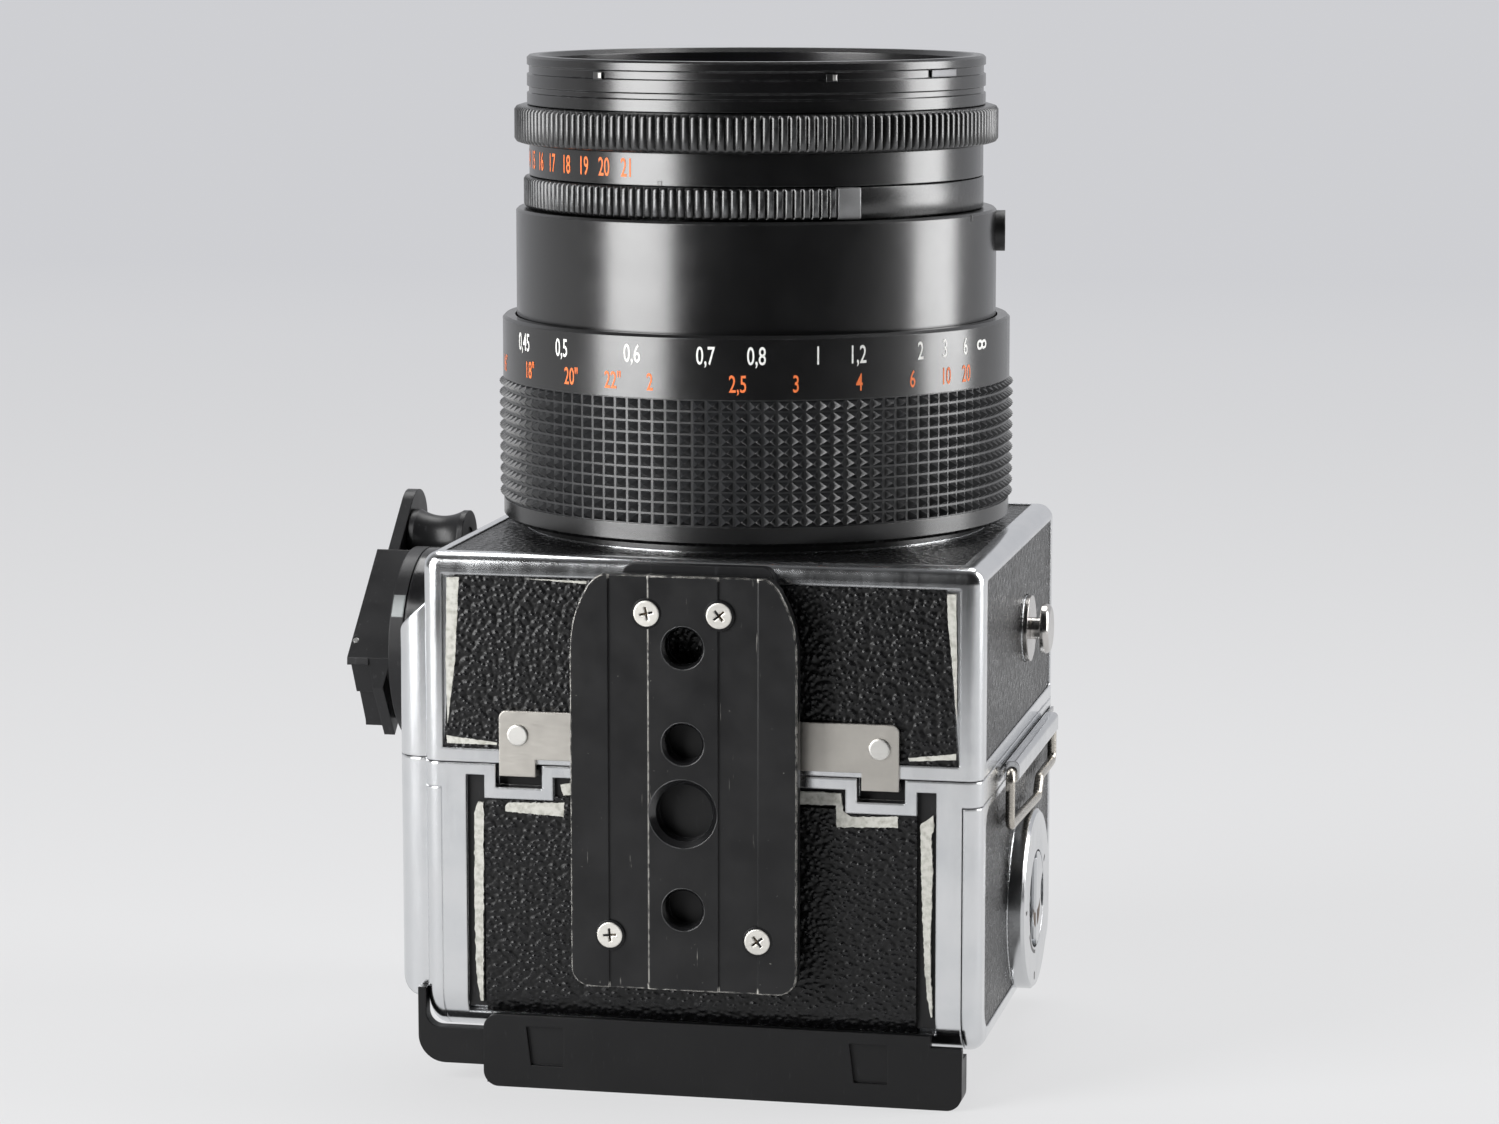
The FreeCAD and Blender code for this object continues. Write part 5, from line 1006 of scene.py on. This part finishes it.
class FILMCAMERA_OT_plate(bpy.types.Operator):
    """Build the worn quick-release plate with its raised bands, threaded holes and cross-headed screws"""
    bl_idname = "film_camera.plate"
    bl_label = "Quick-release plate"
    # Each hole's height, radius, flare at its mouth and pitch of thread, in millimetres.
    holes = ((76.4, 3.175, 0.45, 1.27), (60.5, 3.175, 0.45, 1.27), (48.9, 4.76, 1.0, 1.5875),
             (32.9, 3.175, 0.45, 1.27))
    # Each screw's place in X and Z in millimetres, and the turn of its cross in degrees.
    screws = ((-6.45, 81.9, 12), (5.65, 81.9, 40), (-12.8, 28.1, 5), (12.0, 28.1, 38))
    # How far the shoulder stands in from the plate's side, and below its top, in millimetres.
    shoulder = ((5.2, 0.0), (4.1, 0.6), (3.0, 1.8), (1.8, 4.1), (1.0, 6.1), (0.5, 7.9), (0.1, 10.6),
                (0.0, 12.9))

    def execute(self, context):
        low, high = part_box("tripod_plate")
        middle, face, back = (low.x + high.x) / 2, low.y, high.y
        holes = [circle(radius * MM + flare * MM, 64, middle, z * MM)
                 for z, radius, flare, pitch in self.holes]
        seats = [circle(0.00225, 32, x * MM, z * MM) for x, z, turn in self.screws]
        groove, base_thick, core_thick = 0.0004, 0.0018, 0.0026
        base = [self.outline(low, high, 0.0009)] + holes + seats
        core = [self.outline(low, high, 0.0)] + holes + seats
        build = bmesh.new()
        add_mesh(build, flat_plate(base, base_thick, 0.0001), on_underside(0, back - base_thick, 0))
        add_mesh(build, flat_plate(core, core_thick, 0.0002), on_underside(0, face + groove, 0))
        for band in self.bands(low, high, middle, holes):
            add_mesh(build, flat_plate(band, groove + 0.0001, 0.00012), on_underside(0, face + 0.00006, 0))
        set_piece("release_plate", build, [worn_anodised("worn_anodised", middle)], "camera_body",
                  ["tripod_plate"])
        self.threads(middle, face, back)
        self.backing(back)
        self.screw_heads(face)
        return {"FINISHED"}

    def backing(self, back):
        """The black backing, and a thin black sheet behind the plate that paints the shade seen through its
        holes.
        """
        dress(moulded_plastic("backing_black", (0.010, 0.010, 0.011), 0.4), "plate_backing")
        # Painted shade: a black sheet behind the plate, so the tripod holes look dark inside.
        hole_shade_sheet = in_metres([(-17.6, 20.9), (16.8, 20.9), (16.8, 65.0), (-17.6, 65.0)])
        build = bmesh.new()
        add_mesh(build, flat_plate([hole_shade_sheet], 0.0004), on_underside(0, back, 0))
        rubber = moulded_plastic("hole_shade_black", (0.0028, 0.0028, 0.0031), 0.45)
        set_piece("plate_hole_shade", build, [rubber], "camera_body", crease=0)

    def outline(self, low, high, inset):
        """The plate's edge from its top left, with round shoulders and round lower corners."""
        middle, half = (low.x + high.x) / 2, (high.x - low.x) / 2 - inset
        side = [(half - back * MM, high.z - inset - down * MM) for back, down in self.shoulder]
        corner = 0.003
        side += [(half - corner + corner * math.cos(turn), low.z + inset + corner - corner * math.sin(turn))
                 for turn in (math.radians(15 * number) for number in range(7))]
        return [(middle + x, z) for x, z in side] + [(middle - x, z) for x, z in reversed(side)]

    def bands(self, low, high, middle, holes):
        """The raised band in the middle, with the holes, and the two along the sides, as outlines."""
        edge = self.outline(low, high, 0.0)
        inner, outer = 0.0058, 0.0126
        left, right = middle - inner, middle + inner
        yield [[(left, low.z), (right, low.z), (right, high.z), (left, high.z)]] + holes
        for side in (-1, 1):
            flank = [(x, z) for x, z in edge if side * (x - middle) > outer]
            flank.sort(key=lambda place: -place[1])
            yield [[(middle + side * outer, high.z)] + flank + [(middle + side * outer, low.z)]]

    def threads(self, middle, face, back):
        """A cut thread in each tripod hole, below a flared mouth."""
        black = lens_black("thread_black", (0.006, 0.006, 0.0065), 0.8, 0.2)
        deep, cut, skin = back - face, 0.00038, 0.00005
        build = bmesh.new()
        for z, radius, flare, pitch in self.holes:
            radius, flare, pitch = radius * MM, flare * MM, pitch * MM
            mouth = radius + flare
            profile = [(mouth + skin, -deep), (mouth + skin, 0.0), (mouth - skin, 0.0), (radius, -flare)]
            for number in range(int((deep - flare) / pitch)):
                at = -flare - number * pitch
                profile += [(radius - 0.00002, at - 0.1 * pitch), (radius + cut, at - 0.5 * pitch),
                            (radius, at - 0.9 * pitch)]
            ring = bmesh.new()
            turn_outline(ring, [(along, up, 0.0) for along, up in profile], whole_turn(64))
            add_mesh(build, as_mesh("thread", ring), on_underside(middle, face + 0.00002, z * MM))
        set_piece("plate_threads", build, [black], "camera_body")

    def screw_heads(self, face):
        """The four screws, each turned a little differently."""
        nickel = satin_nickel("screw_nickel", (0.80, 0.78, 0.73), 0.42)
        grime = scale_paint("slot_grime", (0.09, 0.06, 0.035))
        seat = moulded_plastic("seat_black", (0.004, 0.004, 0.0045), 0.3)
        build = bmesh.new()
        for x, z, turn in self.screws:
            self.screw(build, x * MM, face, z * MM, math.radians(turn))
        set_piece("plate_screw_heads", build, [nickel, grime, seat], "camera_body",
                  ["plate_screws"])

    def screw(self, build, x, y, z, turn):
        """A flat head with a cross recess, its dark seat, and the floor of the recess."""
        half, arm = 0.00027, 0.00118
        head_radius, seat_inner, seat_outer, floor_radius = 0.00205, 0.0021, 0.00255, 0.0015
        seat_deep, recess_deep = 0.00004, 0.0006
        cross = [(half, half), (half, arm), (-half, arm), (-half, half), (-arm, half), (-arm, -half),
                 (-half, -half), (-half, -arm), (half, -arm), (half, -half), (arm, -half), (arm, half)]
        cosine, sine = math.cos(turn), math.sin(turn)
        cross = [(a * cosine - b * sine, a * sine + b * cosine) for a, b in cross]
        add_mesh(build, flat_plate([circle(head_radius, 48), cross], 0.0009, 0.0001), on_underside(x, y, z))
        seat = flat_plate([circle(seat_outer, 48), circle(seat_inner, 48)], 0.0004)
        add_mesh(build, seat, on_underside(x, y + seat_deep, z), 2)
        floor = flat_plate([circle(floor_radius, 24)], 0.0002)
        add_mesh(build, floor, on_underside(x, y + recess_deep, z), 1)


class FILMCAMERA_OT_crank(bpy.types.Operator):
    """Finish the folding crank and the dark slide holder in moulded black"""
    bl_idname = "film_camera.crank"
    bl_label = "Crank and holder"

    def execute(self, context):
        dress(moulded_plastic("crank_black", (0.010, 0.010, 0.0107), 0.33),
              "crank_hub", "crank_arm", "crank_knob")
        dress(moulded_plastic("holder_black", (0.004, 0.004, 0.0044), 0.36), "slide_holder")
        return {"FINISHED"}


class FILMCAMERA_OT_key_details(bpy.types.Operator):
    """Add the marks of the magazine's key disc, the painted shade of its finger hollow and the pale marks
    of the crank
    """
    bl_idname = "film_camera.key_details"
    bl_label = "Key disc and crank marks"

    def execute(self, context):
        self.disc_marks()
        self.finger_notch()
        self.paint_patch()
        return {"FINISHED"}

    def disc_marks(self):
        """Three short marks and an arc on the disc, each mark given by its distance out and its bearing."""
        build = bmesh.new()
        for away, bearing in ((0.0119, 180.0), (0.0105, 30.0), (0.0134, 262.0)):
            self.dash(build, away, bearing, 0.0013, 0.0006)
        self.arc(build, 0.0095, 0.0089, 212.0, 262.0)
        dark = lens_black("mark_black", (0.004, 0.004, 0.0045), 0.1, 0.35)
        set_piece("key_disc_marks", build, [dark], "key", crease=0, place=self.on_disc())

    def finger_notch(self):
        """The painted brownish shade of the hollow below the tab's hinge, one half on the tab and one on
        the disc beside it.
        """
        # Painted shade: a flat brownish patch stands for the shade in the finger hollow.
        hollow_shade = scale_paint("hollow_shade_brown", (0.075, 0.05, 0.032))
        for name, body, first, last in (("key_tab_hollow_shade", "key_tab", 283.0, 355.0),
                                        ("key_disc_hollow_shade", "key", 185.0, 257.0)):
            build = bmesh.new()
            self.arc(build, 0.0042, 0.0042, first, last, 0.35)
            set_piece(name, build, [hollow_shade], body, crease=0, place=self.on_disc(-0.0008))

    def paint_patch(self):
        """A pale rubbed patch on the rim of the crank's hub."""
        low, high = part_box("crank_hub")
        build = bmesh.new()
        ring_patch(build, 0.0167, math.radians(24), math.radians(38), 0.0548, 0.0569)
        outwards = Matrix(((0, 0, -1, 0), (-1, 0, 0, (low.y + high.y) / 2), (0, 1, 0, (low.z + high.z) / 2),
                           (0, 0, 0, 1)))
        grey = satin_nickel("patch_grey", (0.20, 0.21, 0.21), 0.45)
        set_piece("crank_paint_patch", build, [grey], "crank", place=outwards)

    def on_disc(self, shift=0.0):
        """From a drawing in X and Y to the key disc's face: its X along Y, its Y along Z."""
        low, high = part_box("key_disc")
        middle = ((low.y + high.y) / 2, (low.z + high.z) / 2 + shift)
        turn = Matrix(((0, 0, 1, 0), (1, 0, 0, 0), (0, 1, 0, 0), (0, 0, 0, 1)))
        return Matrix.Translation((high.x + 0.00003, *middle)) @ turn

    def dash(self, build, away, bearing, long, wide):
        near, far = away - long / 2, away + long / 2
        corners = [(near, -wide / 2), (far, -wide / 2), (far, wide / 2), (near, wide / 2)]
        add_mesh(build, flat_plate([corners], 0.00002), Matrix.Rotation(math.radians(bearing), 4, "Z"))

    def arc(self, build, outer, inner, first, last, squeeze=1.0):
        """A band along an arc, whose inner edge may be squeezed upwards."""
        turns = [math.radians(first + (last - first) * number / 40) for number in range(41)]
        edge = [(outer * math.cos(turn), outer * math.sin(turn)) for turn in turns]
        edge += [(inner * math.cos(turn), squeeze * inner * math.sin(turn)) for turn in reversed(turns)]
        add_mesh(build, flat_plate([edge], 0.00002), Matrix.Identity(4))


class FILMCAMERA_OT_inside(bpy.types.Operator):
    """Finish the gears, spools, dark slide and other inner pieces"""
    bl_idname = "film_camera.inside"
    bl_label = "Inner pieces"

    def execute(self, context):
        dress(plain_metal("gear_brass", (0.68, 0.53, 0.28)), "idler_gear", "magazine_gear")
        dress(plain_metal("shaft_steel", (0.55, 0.55, 0.54)), "winding_shaft", "crank_hinge_pin")
        dress(plain_metal("slide_steel", (0.50, 0.50, 0.50), 0.25), "slide_blade")
        dress(backing_paper("backing_paper"), "supply_spool")
        dress(moulded_plastic("spool_black", (0.02, 0.02, 0.021)), "take_up_spool")
        dress(optical_glass("level_fluid", (0.72, 0.90, 0.30)), "level_vial")
        return {"FINISHED"}


class FILMCAMERA_PT_panel(bpy.types.Panel):
    """Lists the steps that dress the camera"""
    bl_label = "Film camera"
    bl_idname = "FILMCAMERA_PT_panel"
    bl_space_type = "VIEW_3D"
    bl_region_type = "UI"
    bl_category = "Film Camera"

    def draw(self, context):
        for step in STEPS:
            self.layout.operator(step.bl_idname)
        for group in (context.scene.film_camera_sizes, context.scene.film_camera_colours):
            for name in group.bl_rna.properties.keys():
                if name not in ("rna_type", "name"):
                    self.layout.prop(group, name)


STEPS = (
    FILMCAMERA_OT_stage, FILMCAMERA_OT_chrome_work, FILMCAMERA_OT_leather, FILMCAMERA_OT_linings,
    FILMCAMERA_OT_lens_finish, FILMCAMERA_OT_ring_marks, FILMCAMERA_OT_ribbed_rings,
    FILMCAMERA_OT_rubber_grip, FILMCAMERA_OT_scales, FILMCAMERA_OT_plate, FILMCAMERA_OT_crank,
    FILMCAMERA_OT_key_details, FILMCAMERA_OT_inside)
CLASSES = (FILMCAMERA_sizes, FILMCAMERA_colours) + STEPS + (FILMCAMERA_PT_panel,)


def register():
    for kind in CLASSES:
        bpy.utils.register_class(kind)
    bpy.types.Scene.film_camera_sizes = bpy.props.PointerProperty(type=FILMCAMERA_sizes)
    bpy.types.Scene.film_camera_colours = bpy.props.PointerProperty(type=FILMCAMERA_colours)


def unregister():
    del bpy.types.Scene.film_camera_colours
    del bpy.types.Scene.film_camera_sizes
    for kind in reversed(CLASSES):
        bpy.utils.unregister_class(kind)


def main():
    register()
    for step in STEPS:
        group, name = step.bl_idname.split(".")
        getattr(getattr(bpy.ops, group), name)()


if __name__ == "__main__":
    main()
